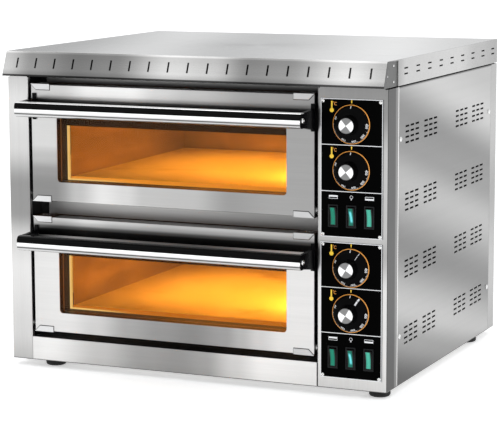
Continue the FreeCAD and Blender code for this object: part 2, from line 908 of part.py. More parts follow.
def make_baking_stone(deck):
    stone = body(deck + "_stone_body")
    margin = size("clearance")
    left = door_centre - mouth_half + margin
    right = door_centre + mouth_half - margin
    start = chamber_front + margin
    end = chamber_rear - margin
    low = deck_low(deck) + size("stone_top") - size("stone_thick")
    high = deck_low(deck) + size("stone_top")
    pad(stone, "XY_Plane", low, high, corners_of((left, right), (start, end)))
    dress(stone, "Chamfer", "X", [(start, high), (end, high)], margin / 2)
    keep(stone, deck + "_baking_stone")


def make_heater(deck, level, high):
    """A tube folded into hairpins; its two ends pass through the rear wall."""
    radius = number(size("run_pitch")) / 2
    height = number(deck_low(deck) + size(high))
    near = number(chamber_front + size("run_front_gap")) + radius
    far = number(chamber_rear - size("run_rear_gap")) - radius
    back = number(chamber_rear + size("tube_tail"))
    runs = [number(x) for x in run_places()]

    def spot(x, y):
        return FreeCAD.Vector(x, y, height)

    edges = []
    y = back
    for index, x in enumerate(runs):
        towards_front = index % 2 == 0
        end = near if towards_front else far
        if index == len(runs) - 1:
            end = back
        edges.append(Part.LineSegment(spot(x, y), spot(x, end)).toShape())
        if index < len(runs) - 1:
            bulge = -radius if towards_front else radius
            bend = Part.Arc(spot(x, end), spot(x + radius, end + bulge), spot(runs[index + 1], end))
            edges.append(bend.toShape())
        y = end
    path = Part.Wire(edges)
    tube = number(size("tube_radius"))
    section = Part.Wire(Part.Circle(spot(runs[0], back), AXES["Y"], tube).toShape())
    item = doc.addObject("Part::Feature", deck + level + "_tube")
    item.Shape = path.makePipeShell([section], True, True)
    item.Placement = FreeCAD.Placement()
    expected = path.Length * tube ** 2 * math.pi
    if abs(item.Shape.Volume / expected - 1) > 0.01:
        raise RuntimeError("the heater tube in the %s deck is not a clean sweep" % deck)
    keep(item, "%s_%s_element" % (deck, level))


def make_chamber_lamps():
    lenses = []
    right = door_centre + mouth_half
    for deck in DECKS:
        y = chamber_front + size("lamp_back")
        z = deck_low(deck) + size("lamp_high")
        face = right - size("lamp_reach")
        barrel = cylinder(deck + "_lamp_barrel", size("lamp_radius"), size("lamp_length"),
                          (face, y, z), "X")
        dome = cone(deck + "_lamp_dome", size("lamp_radius"), size("lamp_radius") * 0.7,
                    size("lamp_dome"), (face, y, z), "-X")
        lenses.append(fuse(deck + "_lamp", [barrel, dome]))
    keep(group("lamps", lenses), "chamber_lamps")


def make_insulation():
    left = door_centre - mouth_half
    right = door_centre + mouth_half
    depth = (facade_rear + size("blanket_setback"), chamber_rear - size("clearance"))
    blankets = []
    roof = size("stone_top") + size("mouth_height") + thin + seam
    for deck in DECKS:
        low = deck_low(deck) + roof
        blankets.append(box(deck + "_roof_blanket", (left, right), depth, (low, low + size("blanket"))))
    blankets.append(box("floor_blanket", (left, right), depth,
                        (floor + gauge + seam, floor + gauge + seam + size("blanket"))))
    side = left - thin - seam
    blankets.append(box("side_blanket", (side - size("blanket"), side), depth,
                        (floor + size("side_blanket_low"), floor + size("side_blanket_high"))))
    keep(group("blankets", blankets), "insulation")


# ---------------------------------------------------------------- doors
def make_door_skin(deck):
    skin = body(deck + "_skin_body")
    low = thin
    high = size("door_height") - thin
    depth = size("door_depth")
    pad(skin, "XZ_Plane", 0, depth, corners_of((-door_half, door_half), (low, high)))
    dress(skin, "Fillet", "X", [(0, low), (0, high)], thin * 0.9)
    dress(skin, "Fillet", "Z", [(-door_half, 0), (door_half, 0)], thin * 0.9)
    pocket(skin, "XZ_Plane", thin, depth,
           [corners_of((-door_half + thin, door_half - thin), (low + thin, high - thin))])
    window_half = size("window_width") / 2
    window = (size("window_low"), size("window_high"))
    pocket(skin, "XZ_Plane", 0, thin, [corners_of((-window_half, window_half), window)])
    dress(skin, "Fillet", "Y", [(x, z) for x in (-window_half, window_half) for z in window],
          size("window_corner"))
    pocket(skin, "YZ_Plane", -door_half, door_half,
           circles=[(size("pivot_depth"), size("pivot_high"), size("bearing_radius"))])
    on_door(skin, deck)
    keep(skin, deck + "_door_skin")


def make_door_liner(deck):
    """Inner pan: back plate, hollow plug, window collar and the four folded corner tabs."""
    liner = body(deck + "_liner_pan_body")
    depth = size("door_depth")
    plug = size("plug_half")
    plug_z = (size("plug_low"), size("plug_high"))
    collar = size("collar_half")
    collar_z = (size("collar_low"), size("collar_high"))
    pad(liner, "XZ_Plane", depth, depth + thin,
        corners_of((-door_half, door_half), (0, size("door_height"))))
    pad(liner, "XZ_Plane", depth, size("plug_depth"), corners_of((-plug, plug), plug_z))
    pocket(liner, "XZ_Plane", depth, size("plug_depth") - thin,
           [corners_of((-plug + thin, plug - thin), (plug_z[0] + thin, plug_z[1] - thin))])
    pad(liner, "XZ_Plane", size("collar_front"), size("plug_depth"),
        corners_of((-collar - thin, collar + thin), (collar_z[0] - thin, collar_z[1] + thin)))
    pocket(liner, "XZ_Plane", size("collar_front"), size("plug_depth"),
           [corners_of((-collar, collar), collar_z)])
    tab = size("tab_length")
    fold = size("tab_tall")
    high = size("door_height")
    for sign in SIDES.values():
        sides = span(door_half * sign, (door_half - tab) * sign)
        for edge, inward in ((0, 1), (high, -1)):
            strap = span(edge, edge + thin * inward)
            pad(liner, "XZ_Plane", -thin, depth, corners_of(sides, strap))
            pad(liner, "XZ_Plane", -thin, 0,
                [((door_half - tab) * sign, edge), (door_half * sign, edge),
                 ((door_half - fold) * sign, edge + fold * inward),
                 ((door_half - tab) * sign, edge + fold * inward)])
    on_door(liner, deck)
    keep(liner, deck + "_door_liner")


def make_door_glass(deck):
    """Outer pane behind the skin, inner pane inside the plug's collar."""
    margin = size("glass_overlap")
    low = deck_low(deck)
    wide = size("outer_glass_half")
    start = front + thin + seam
    outer = box(deck + "_outer_pane", (door_centre - wide, door_centre + wide),
                (start, start + size("glass_thick")),
                (low + size("window_low") - margin, low + size("window_high") + margin))
    keep(outer, deck + "_outer_glass")
    fit = size("collar_half") - seam
    end = front + size("plug_depth") - size("clearance")
    inner = box(deck + "_inner_pane", (door_centre - fit, door_centre + fit),
                (end - size("glass_thick"), end),
                (low + size("collar_low") + seam, low + size("collar_high") - seam))
    keep(inner, deck + "_inner_glass")


def make_hinge_pins(deck):
    pins = []
    for side, sign in SIDES.items():
        towards = "X" if sign > 0 else "-X"
        y = size("pivot_depth")
        z = size("pivot_high")
        name = "%s_%s_" % (deck, side)
        shaft = cylinder(name + "pin", size("pin_radius"), size("pin_length"),
                         ((door_half - size("pin_inset")) * sign, y, z), towards)
        collar = cylinder(name + "pin_collar", size("pin_collar_radius"), size("pin_collar_thick"),
                          ((door_half + size("pin_gap")) * sign, y, z), towards)
        pins.append(fuse(name + "hinge_pin", [shaft, collar]))
    keep(on_door(group(deck + "_pins", pins), deck), deck + "_hinge_pins")


def handle_side(inset, sign):
    """How far along X a plane of the handle is, measured inward from its end on one side."""
    return (size("handle_half") - inset) * sign + size("handle_shift")


def nose_outline(inset, back):
    """Cross-section of the bracket's nose, an inset inside the bar's skin and open to the back."""
    face = inset - size("bar_front")
    low = size("bar_high") - size("bar_tall") / 2 + inset
    high = low + size("bar_tall") - inset * 2
    cut = size("bar_round") - inset
    return [(back, high), (face + cut, high), (face, high - cut), (face, low + cut), (face + cut, low),
            (back, low)]


def make_handle_bar(deck):
    """Hollow bar; at each end its thin skin wraps the bracket, which enters from behind."""
    bar = body(deck + "_bar_body")
    ends = (handle_side(0, -1), handle_side(0, 1))
    face = -size("bar_front")
    back = -size("bar_rear")
    low = size("bar_high") - size("bar_tall") / 2
    high = low + size("bar_tall")
    wall = size("bar_wall")
    pad(bar, "YZ_Plane", *ends, corners_of((face, back), (low, high)))
    dress(bar, "Fillet", "X", [(face, low), (face, high)], size("bar_round"))
    dress(bar, "Fillet", "X", [(back, low), (back, high)], size("bar_back_round"))
    groove = low + size("groove_high")
    pocket(bar, "YZ_Plane", *ends,
           [corners_of((face, face + size("groove_deep")), (groove, groove + size("groove_tall")))])
    pocket(bar, "YZ_Plane", *ends,
           [corners_of((face + wall * 2, back - wall), (low + wall * 2, high - wall * 2))])
    for sign in SIDES.values():
        seat = span(handle_side(size("bracket_thick"), sign), handle_side(0, sign))
        pocket(bar, "YZ_Plane", *seat, [nose_outline(size("bar_skin"), back)])
    on_door(bar, deck)
    keep(bar, deck + "_handle_bar")


def make_handle_brackets(deck):
    """Flat end brackets: a nose fills the bar's end and a heel flares up and down at the door."""
    pieces = []
    low = size("bar_high") - size("bar_tall") / 2
    high = low + size("bar_tall")
    step = -size("bar_rear") + size("bracket_gap")
    nose = nose_outline(size("bar_skin") + size("bracket_gap"), step)
    foot_low = size("bracket_flare_low")
    foot_high = foot_low + size("bracket_flare")
    heel = -size("bracket_heel")
    waist = -size("bracket_waist")
    for side, sign in SIDES.items():
        bracket = body("%s_%s_bracket_body" % (deck, side))
        pad(bracket, "YZ_Plane", *span(handle_side(size("bracket_thick"), sign), handle_side(0, sign)),
            [(0, foot_low), (0, foot_high), (heel, foot_high), (heel, foot_high - size("bracket_drop")),
             (waist, high), (step, high), *nose, (step, low), (heel, foot_low + size("bracket_rise")),
             (heel, foot_low)])
        pieces.append(bracket)
    keep(on_door(group(deck + "_brackets", pieces), deck), deck + "_handle_brackets")


def make_door_screws(deck):
    pieces = []
    for side, sign in SIDES.items():
        towards = "X" if sign > 0 else "-X"
        name = "%s_%s_" % (deck, side)
        start = handle_side(0, sign)
        y = size("handle_screw_inset") - size("bar_front")
        pieces.append(screw(name + "handle_screw", size("screw_radius"), size("screw_head"),
                            (start, y, size("bar_high")), towards))
        for step in range(3):
            x = (door_half - size("rivet_inset") - size("rivet_pitch") * step) * sign
            pieces.append(screw(name + "rivet", size("rivet_radius"), size("rivet_head"),
                                (x, size("rivet_depth"), size("door_height")), "Z"))
    keep(on_door(group(deck + "_screws", pieces), deck), deck + "_door_screws")


# ---------------------------------------------------------------- controls
def on_plate(item, deck, x, z):
    """Control pieces are drawn from their own middle at the plate's front face."""
    return place(item, size("plate_x") + x, front - size("plate_thick"), plate_low(deck) + z)


def make_knob(deck, level, z):
    """Dished dial skirt with a round grip, bored for the shaft and recessed for the cap."""
    knob = body("%s_%s_knob_body" % (deck, level))
    rim = size("skirt_radius")
    grip = size("grip_radius")
    face = -size("knob_reach")
    bore = size("knob_bore")
    back = -size("knob_gap")
    depth = -size("shaft_bore_depth")
    seat = face + size("cap_seat")
    recess = size("cap_radius") + size("cap_gap")
    tip = grip - size("grip_taper")
    revolve(knob, "XY_Plane", "V_Axis",
            [(bore, back), (rim, back), (rim, -size("skirt_edge")),
             (rim - size("skirt_slope"), -size("skirt_high")),
             (grip + size("grip_flare"), -size("dish_high")), (grip, -size("grip_low")),
             (tip, face + size("grip_round")), (tip - size("grip_round"), face),
             (recess, face), (recess, seat), (0, seat), (0, depth), (bore, depth)])
    on_plate(knob, deck, 0, z)
    keep(knob, "%s_%s_knob" % (deck, level))
    cap = body("%s_%s_cap_body" % (deck, level))
    radius = size("cap_radius")
    proud = face - size("cap_proud")
    revolve(cap, "XY_Plane", "V_Axis",
            [(0, seat - size("cap_gap")), (0, proud), (radius - size("cap_bevel"), proud),
             (radius, proud + size("cap_bevel")), (radius, seat - size("cap_gap"))])
    on_plate(cap, deck, 0, z)
    keep(cap, "%s_%s_knob_cap" % (deck, level))


def make_rocker(deck, name, x, z):
    """A shallow V that tips about its own middle."""
    rocker = body("%s_%s_rocker_body" % (deck, name))
    wide = size("rocker_width") / 2
    end = size("rocker_half")
    foot = end - size("rocker_draft")
    keel = (size("rocker_keel"), size("rocker_keel_half"))
    pad(rocker, "YZ_Plane", -wide, wide,
        [(-size("rocker_dip"), 0), (-size("rocker_rise"), end), (size("rocker_skirt"), foot), keel,
         (keel[0], -keel[1]), (size("rocker_skirt"), -foot), (-size("rocker_rise"), -end)])
    tilt = FreeCAD.Rotation(AXES["X"], number(size("rocker_tilt")))
    rocker.Placement = FreeCAD.Placement(FreeCAD.Vector(), tilt)
    on_plate(rocker, deck, x, z)
    keep(rocker, "%s_%s_rocker" % (deck, name))


def about(width):
    """The range of a width that is centred on zero."""
    return (-width / 2, width / 2)


def make_switch_housings():
    pieces = []
    proud = -size("switch_frame_proud")
    room_wide = size("rocker_width") + size("rocker_side_gap") * 2
    room_tall = (size("rocker_half") + size("rocker_end_gap")) * 2
    for deck in DECKS:
        for x, z in switch_centres():
            name = deck + "_switch_"
            frame = box(name + "frame", about(size("switch_frame_width")), (proud, 0),
                        about(size("switch_frame_tall")))
            case = box(name + "case", about(size("switch_case_width")), (0, size("switch_case_depth")),
                       about(size("switch_case_tall")))
            room = box(name + "room", about(room_wide), (proud, size("switch_room_depth")),
                       about(room_tall))
            housing = cut(name + "housing", fuse(name + "outer", [frame, case]), [room])
            pieces.append(on_plate(housing, deck, x, z))
    keep(group("housings", pieces), "switch_housings")


def make_thermostats():
    """Behind the plate: a case with a shaft that carries the knob."""
    pieces = []
    start = size("plate_thick")
    for deck in DECKS:
        for x, z in knob_centres():
            name = deck + "_thermostat_"
            wide = about(size("thermostat_width"))
            case = box(name + "case", wide, (start, start + size("thermostat_depth")), wide)
            shaft = cylinder(name + "shaft", size("shaft_radius"), start + size("shaft_reach"),
                             (0, start, 0), "-Y")
            pieces.append(on_plate(fuse(name + "unit", [case, shaft]), deck, x, z))
    keep(group("thermostat_units", pieces), "thermostats")


# ---------------------------------------------------------------- feet, screws and cable entry
def make_feet():
    feet = []
    for x in (-size("foot_left"), size("foot_right")):
        for y in (front + size("foot_front"), front + size("foot_rear")):
            bevel = size("foot_bevel")
            tread = cone("foot_tread", size("foot_radius") - bevel, size("foot_radius"), bevel, (x, y, 0))
            disc = cylinder("foot_disc", size("foot_radius"), size("foot_height") - bevel, (x, y, bevel))
            feet.append(fuse("foot", [tread, disc]))
    keep(group("foot_group", feet), "feet")


CHEEK_RIVETS = ((24.8, 433), (24.8, 411.8), (0.5, 420.5))
UNDERSIDE_SCREWS = (-262, -28.5, 150.5, 240.4)


def make_case_screws():
    """Every fastener of the casing; the rivets stand on the visor cheeks."""
    pieces = []
    radius = size("screw_radius")
    head = size("screw_head")
    for sign in SIDES.values():
        towards = "X" if sign > 0 else "-X"
        for y, z in side_screw_places():
            pieces.append(screw("side_screw", radius, head, (half * sign, y, z), towards,
                                size("side_screw_length")))
        for y, z in CHEEK_RIVETS:
            pieces.append(screw("cheek_rivet", size("cheek_rivet_radius"), size("cheek_rivet_head"),
                                ((half - gauge - seam) * sign, front + y, floor + z), towards))
    for deck in DECKS:
        for x, z in plate_screw_places():
            at = (size("plate_x") + x, front - size("plate_thick"), plate_low(deck) + z)
            pieces.append(screw("plate_screw", size("plate_screw_radius"), size("plate_screw_head"),
                                at, "-Y", size("plate_screw_length")))
    for x in UNDERSIDE_SCREWS:
        at = (x, front + size("underside_screw_inset"), floor)
        pieces.append(screw("underside_screw", size("underside_screw_radius"),
                            size("underside_screw_head"), at, "-Z"))
    for column in (-1, 0, 1):
        for z in (size("rear_screw_low"), size("rear_screw_high")):
            at = ((half - size("rear_screw_side")) * column, rear, floor + z)
            pieces.append(screw("rear_screw", radius, head, at, "Y"))
    keep(group("screw_group", pieces), "case_screws")


def make_cable_gland():
    x = size("gland_x")
    z = floor + size("gland_high")
    nut = size("gland_nut_thick")
    inner_end = rear + size("gland_reach") - size("gland_length")
    tail = cylinder("gland_tail", size("gland_body"), rear - inner_end, (x, inner_end, z), "Y")
    flange = doc.addObject("Part::Prism", "gland_flange")
    flange.Polygon = 6
    bind(flange, "Circumradius", size("gland_nut"))
    bind(flange, "Height", nut)
    place(flange, x, rear, z, rotation=TURN_Z_TO["Y"])
    dome = cone("gland_dome", size("gland_dome"), size("gland_tip"), size("gland_reach") - nut,
                (x, rear + nut, z), "Y")
    bore = cylinder("gland_hole", size("gland_bore"), size("gland_length"), (x, inner_end, z), "Y")
    keep(cut("gland", fuse("gland_outer", [tail, flange, dome]), [bore]), "cable_gland")


make_base_pan()
for side_name in SIDES:
    make_side_panel(side_name)
make_rear_panel()
make_top_cover()
for side_name in SIDES:
    make_visor_cheek(side_name)
make_left_front_post()
make_lower_front_panel()
make_control_bezel()
make_front_facade()
make_left_jamb()
make_control_partition()
for deck_name in DECKS:
    make_control_plate(deck_name)
    make_chamber_liner(deck_name)
    make_baking_stone(deck_name)
    make_heater(deck_name, "top", "top_tube_high")
    make_heater(deck_name, "bottom", "low_tube_high")
    make_door_skin(deck_name)
    make_door_liner(deck_name)
    make_door_glass(deck_name)
    make_hinge_pins(deck_name)
    make_handle_bar(deck_name)
    make_handle_brackets(deck_name)
    make_door_screws(deck_name)
    for level_name, (_, knob_z) in zip(("bottom_heat", "top_heat"), knob_centres()):
        make_knob(deck_name, level_name, knob_z)
    for switch_name, (switch_x, switch_z) in zip(("top_heat", "lamp", "bottom_heat"), switch_centres()):
        make_rocker(deck_name, switch_name, switch_x, switch_z)
make_chamber_lamps()
make_insulation()
make_switch_housings()
make_thermostats()
make_feet()
make_case_screws()
make_cable_gland()
doc.recompute()

# ---------------------------------------------------------------- checks and export
for item in doc.Objects:
    if "Invalid" in item.State or "Error" in item.State:
        raise RuntimeError("%s did not compute: %s" % (item.Name, item.State))
for item in nodes:
    if item.Shape.isNull() or not item.Shape.isValid() or not item.Shape.Solids:
        raise RuntimeError("%s has no valid solid" % item.Label)

os.makedirs("parts", exist_ok=True)
for item in nodes:
    item.Shape.exportStep("parts/%s.step" % item.Label)
print("%d nodes" % len(nodes))
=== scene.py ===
import math

import bmesh
import bpy
from mathutils import Matrix, Vector


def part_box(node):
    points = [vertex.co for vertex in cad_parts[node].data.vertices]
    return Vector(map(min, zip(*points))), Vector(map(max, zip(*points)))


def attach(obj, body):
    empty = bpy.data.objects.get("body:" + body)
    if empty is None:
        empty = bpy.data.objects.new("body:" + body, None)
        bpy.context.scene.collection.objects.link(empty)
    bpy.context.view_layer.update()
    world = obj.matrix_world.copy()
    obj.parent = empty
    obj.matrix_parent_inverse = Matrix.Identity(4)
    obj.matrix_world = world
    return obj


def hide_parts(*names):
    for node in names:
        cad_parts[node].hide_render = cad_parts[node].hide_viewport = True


# Looks for a two-deck countertop pizza oven. Lengths are in metres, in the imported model's frame:
# +Z up, -Y is the front, and the origin is on the counter under the middle of the oven.

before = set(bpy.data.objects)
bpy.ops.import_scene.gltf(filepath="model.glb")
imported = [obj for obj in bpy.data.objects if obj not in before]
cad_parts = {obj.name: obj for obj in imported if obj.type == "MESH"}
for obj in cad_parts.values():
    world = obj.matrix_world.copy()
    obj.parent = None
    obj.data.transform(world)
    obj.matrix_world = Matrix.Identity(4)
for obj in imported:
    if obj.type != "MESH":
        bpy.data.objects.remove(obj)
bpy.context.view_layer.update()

MM = 0.001
DECKS = ("lower", "upper")
HEATS = ("bottom_heat", "top_heat")
ROCKERS = ("top_heat", "lamp", "bottom_heat")
STEEL = (0.98, 0.972, 0.96)
X, Y, Z = (1, 0, 0), (0, 1, 0), (0, 0, 1)
FRONT = (0, -1, 0)
NOISE_ROUGHNESS = 0.55


# ---------------- shader building
class Shader:
    """A node material whose coordinates stay fixed to the piece."""

    def __init__(self, name):
        self.material = bpy.data.materials.new(name)
        self.material.use_nodes = True
        self.nodes = self.material.node_tree.nodes
        self.links = self.material.node_tree.links
        self.surface = self.nodes["Principled BSDF"]
        self.output = self.nodes["Material Output"]
        self.place = self.nodes.new("ShaderNodeTexCoord").outputs["Object"]

    def set(self, socket, value):
        if isinstance(value, bpy.types.NodeSocket):
            self.links.new(value, socket)
        elif isinstance(value, tuple) and len(value) == 3 and socket.type == "RGBA":
            socket.default_value = (*value, 1)
        else:
            socket.default_value = value

    def node(self, kind, settings=None, **inputs):
        item = self.nodes.new("ShaderNode" + kind)
        for key, value in (settings or {}).items():
            setattr(item, key, value)
        for key, value in inputs.items():
            self.set(item.inputs[key.replace("_", " ")], value)
        return item

    def principled(self, **inputs):
        for key, value in inputs.items():
            self.set(self.surface.inputs[key.replace("_", " ")], value)

    def maths(self, operation, *values, clamp=False):
        item = self.node("Math", {"operation": operation, "use_clamp": clamp})
        for socket, value in zip(item.inputs, values):
            self.set(socket, value)
        return item.outputs[0]

    def minus(self, first, second):
        return self.maths("SUBTRACT", first, second)

    def times(self, first, second):
        return self.maths("MULTIPLY", first, second)

    def less(self, value, limit):
        return self.maths("LESS_THAN", value, limit)

    def axis(self, letter):
        return self.node("SeparateXYZ", Vector=self.place).outputs[letter]

    def away(self, letter, middle):
        """Distance from a plane, on either side of it."""
        return self.maths("ABSOLUTE", self.minus(self.axis(letter), middle))

    def along(self, direction):
        """Distance from the origin along a direction, which need not be a unit vector."""
        item = self.node("VectorMath", {"operation": "DOT_PRODUCT"})
        self.set(item.inputs[0], self.place)
        item.inputs[1].default_value = direction
        return item.outputs["Value"]

    def past(self, direction, limit, soft=0.0):
        """0 up to a distance along a direction and 1 beyond it."""
        if not soft:
            return self.maths("GREATER_THAN", self.along(direction), limit)
        item = self.node("MapRange", {"interpolation_type": "SMOOTHSTEP"}, Value=self.along(direction))
        self.set(item.inputs["From Min"], limit - soft)
        self.set(item.inputs["From Max"], limit + soft)
        return item.outputs[0]

    def noise(self, scale, detail, stretch=(1, 1, 1)):
        stretched = self.node("Mapping", Vector=self.place, Scale=stretch).outputs[0]
        return self.node("TexNoise", Vector=stretched, Scale=scale, Detail=detail,
                         Roughness=NOISE_ROUGHNESS).outputs["Fac"]

    def spread(self, value, low, high):
        """Map 0..1 to low..high."""
        item = self.node("MapRange", Value=value)
        self.set(item.inputs["To Min"], low)
        self.set(item.inputs["To Max"], high)
        return item.outputs[0]

    def ramp(self, value, start, end, stops):
        """Grey or colour along a length: stops are (share of the way, grey or colour)."""
        share = self.node("MapRange", Value=value)
        self.set(share.inputs["From Min"], start)
        self.set(share.inputs["From Max"], end)
        item = self.node("ValToRGB", Fac=share.outputs[0])
        item.color_ramp.interpolation = "EASE"
        elements = item.color_ramp.elements
        elements[0].position = stops[0][0]
        elements[1].position = stops[-1][0]
        for position, _ in stops[1:-1]:
            elements.new(position)
        for element, (_, tone) in zip(elements, stops):
            colour = tone if isinstance(tone, tuple) else (tone, tone, tone)
            element.color = (*colour, 1)
        return item.outputs[0]

    def mix(self, share, first, second, kind="MIX"):
        item = self.node("Mix", {"data_type": "RGBA", "blend_type": kind})
        for index, value in ((0, share), (6, first), (7, second)):
            self.set(item.inputs[index], value)
        return item.outputs[2]

    def multiply(self, first, second):
        return self.mix(1.0, first, second, "MULTIPLY")

    def worn(self, colour, pattern, dark):
        """A colour, darkened to a share of itself where a noise is low."""
        return self.multiply(colour, self.ramp(pattern, 0.3, 0.7, ((0, dark), (1, 1.0))))

    def blend(self, share, first, second):
        item = self.node("MixShader", Fac=share)
        self.links.new(first.outputs[0], item.inputs[1])
        self.links.new(second.outputs[0], item.inputs[2])
        return item

    def bump(self, height, distance, edge=0.0):
        """Surface relief, on normals rounded over the sheet's folds."""
        item = self.node("Bump", Height=height, Strength=1.0, Distance=distance)
        if edge:
            rounded = self.node("Bevel", {"samples": 4}, Radius=edge)
            self.links.new(rounded.outputs[0], item.inputs["Normal"])
        self.links.new(item.outputs[0], self.surface.inputs["Normal"])


# ---------------- sheet tones
# Bright sheet mirrors a studio in broad soft bands. A tone paints those bands into the sheet's colour
# as painted reflection and shade, fixed to the sheet: its levels are display greys, and 1 is a sheet
# that mirrors white paper.
DISPLAY_GAMMA = 2.2


def bands(direction, start, end, *levels):
    """Greys along a direction; levels are (share of the way, grey)."""
    def build(shader):
        stops = tuple((share, level ** DISPLAY_GAMMA) for share, level in levels)
        return shader.ramp(shader.along(direction), start, end, stops)
    return build


def flat(level):
    """The same grey all over."""
    return lambda shader: (level ** DISPLAY_GAMMA,) * 3


def split(direction, limit, near, far, soft=0.0):
    """One tone up to a distance along a direction and another beyond it."""
    def build(shader):
        return shader.mix(shader.past(direction, limit, soft), near(shader), far(shader))
    return build


def product(first, second):
    def build(shader):
        return shader.multiply(first(shader), second(shader))
    return build


HEM_SHADOW = 1.0 * MM


def hemmed(tone, low):
    """A tone with the shadow line of the folded hem along the sheet's lower edge."""
    return split(Z, low + HEM_SHADOW, flat(0.4), tone)


# Stretch of the scratches' noise, and their direction.
BRUSHES = {"X": ((4, 420, 420), X), "Y": ((420, 4, 420), Y), "Z": ((420, 420, 4), Z)}
# How far edges look rounded on sheet, on mouldings and on polished parts.
SHEET_EDGE = 0.6 * MM
CAST_EDGE = 0.4 * MM
FINE_EDGE = 0.3 * MM
SILL_LIGHT = (1.0, 0.36, 0.04)


def brushed_steel(name, brush, tone, roughness=0.3, lit=None):
    """Brushed sheet: fine scratches along one axis, faint broad streaks and a tone of painted reflections.

    Where lit is not 0, the sheet has a painted orange glow that stands for the light of a chamber.
    """
    shader = Shader(name)
    stretch, along = BRUSHES[brush]
    fine = shader.noise(6.0, 2.0, stretch)
    broad = shader.noise(0.35, 2.0, stretch)
    cloud = shader.noise(5.0, 2.0)
    colour = shader.multiply(STEEL, shader.ramp(fine, 0.25, 0.75, ((0, 0.95), (1, 1.0))))
    colour = shader.worn(colour, broad, 0.965)
    colour = shader.worn(colour, cloud, 0.975)
    colour = shader.multiply(colour, tone(shader))
    rough = shader.spread(fine, roughness - 0.05, roughness + 0.05)
    shader.principled(Base_Color=colour, Metallic=1.0, Roughness=rough, Anisotropic=0.45, Tangent=along)
    if lit:
        shader.principled(Emission_Color=SILL_LIGHT, Emission_Strength=lit(shader))
    shader.bump(fine, 0.012 * MM, SHEET_EDGE)
    return shader.material


def polished(name, tint, roughness):
    """Polished metal with the faint swirls that wiping leaves."""
    shader = Shader(name)
    wipe = shader.noise(90.0, 4.0, (1, 6, 6))
    colour = shader.worn(tint, wipe, 0.96)
    rough = shader.spread(wipe, roughness - 0.02, roughness + 0.04)
    shader.principled(Base_Color=colour, Metallic=1.0, Roughness=rough)
    shader.bump(wipe, 0.004 * MM, FINE_EDGE)
    return shader.material


def moulded(name, colour, roughness, grain=0.02 * MM, shine=0.5):
    """Moulded plastic or paint: fine grain, slightly uneven gloss."""
    shader = Shader(name)
    grit = shader.noise(2600.0, 3.0)
    patch = shader.noise(25.0, 3.0)
    tinted = shader.worn(colour, patch, 0.85)
    rough = shader.spread(patch, roughness - 0.04, roughness + 0.06)
    shader.principled(Base_Color=tinted, Roughness=rough, Specular_IOR_Level=shine)
    shader.bump(grit, grain, CAST_EDGE)
    return shader.material


WINDOW_TINT = (0.985, 0.91, 0.68)
BAKED_BORDER = (0.045, 0.018, 0.009)
RIM_LIGHT = (1.0, 0.72, 0.42)


def tinted_glass(name, border=None, rim=None):
    """A pane that lets light straight through, with a clear reflection at grazing angles.

    It can carry a dark baked border, and a painted glow on a ground rim for the chamber's light it catches.
    """
    shader = Shader(name)
    smear = shader.noise(14.0, 5.0, (1, 1, 2.5))
    through = shader.worn(WINDOW_TINT, smear, 0.97)
    clear = shader.node("BsdfTransparent", Color=through)
    shine = shader.node("BsdfGlossy", Color=(1, 1, 1), Roughness=shader.spread(smear, 0.03, 0.09))
    facing = shader.node("Fresnel", IOR=1.12)
    share = shader.maths("ADD", facing.outputs[0], shader.spread(smear, 0.0, 0.006), clamp=True)
    surface = shader.blend(share, clear, shine)
    if border:
        baked = shader.node("BsdfDiffuse", Color=BAKED_BORDER, Roughness=0.5)
        surface = shader.blend(border(shader), surface, baked)
    if rim:
        glow = shader.node("Emission", Color=RIM_LIGHT, Strength=0.85)
        surface = shader.blend(rim(shader), surface, glow)
    shader.links.new(surface.outputs[0], shader.output.inputs["Surface"])
    return shader.material


def chamber_steel(name):
    """Oven walls that have been hot: straw and brown heat tint in uneven clouds."""
    shader = Shader(name)
    cloud = shader.noise(9.0, 4.0)
    streak = shader.noise(3.0, 3.0, (20, 2, 20))
    tint = shader.ramp(cloud, 0.35, 0.65, ((0, 0.0), (1, 1.0)))
    colour = shader.mix(tint, (0.50, 0.38, 0.26), (0.38, 0.28, 0.19))
    colour = shader.worn(colour, streak, 0.85)
    haze = shader.noise(2.0, 2.0, (1.5, 1.5, 14))
    colour = shader.multiply(colour, shader.ramp(haze, 0.3, 0.7, ((0, 0.74), (1, 1.2))))
    shader.principled(Base_Color=colour, Metallic=0.35, Roughness=shader.spread(cloud, 0.38, 0.6))
    shader.bump(streak, 0.03 * MM)
    return shader.material


def fire_stone(name):
    """Pressed refractory slab: sandy grain, small pits and a few scorched patches."""
    shader = Shader(name)
    grain = shader.noise(900.0, 4.0)
    scorch = shader.noise(11.0, 4.0)
    cells = shader.node("TexVoronoi", {"feature": "F1"}, Vector=shader.place, Scale=420.0)
    pits = shader.ramp(cells.outputs["Distance"], 0.0, 0.25, ((0, 0.0), (1, 1.0)))
    burnt = shader.ramp(scorch, 0.55, 0.75, ((0, 0.0), (1, 1.0)))
    colour = shader.mix(burnt, (0.92, 0.82, 0.58), (0.74, 0.60, 0.38))
    colour = shader.worn(colour, grain, 0.85)
    shader.principled(Base_Color=colour, Roughness=0.85)
    shader.bump(shader.maths("ADD", grain, pits), 0.15 * MM)
    return shader.material


def heater_skin(name):
    """Sheathed heater tube: dark oxide with a dull red where it is hottest."""
    shader = Shader(name)
    oxide = shader.noise(60.0, 4.0)
    colour = shader.ramp(oxide, 0.3, 0.7, ((0, (0.10, 0.085, 0.08)), (1, (0.22, 0.18, 0.16))))
    shader.principled(Base_Color=colour, Metallic=0.7, Roughness=shader.spread(oxide, 0.45, 0.7),
                      Emission_Color=(1.0, 0.22, 0.03), Emission_Strength=0.5)
    shader.bump(oxide, 0.05 * MM)
    return shader.material


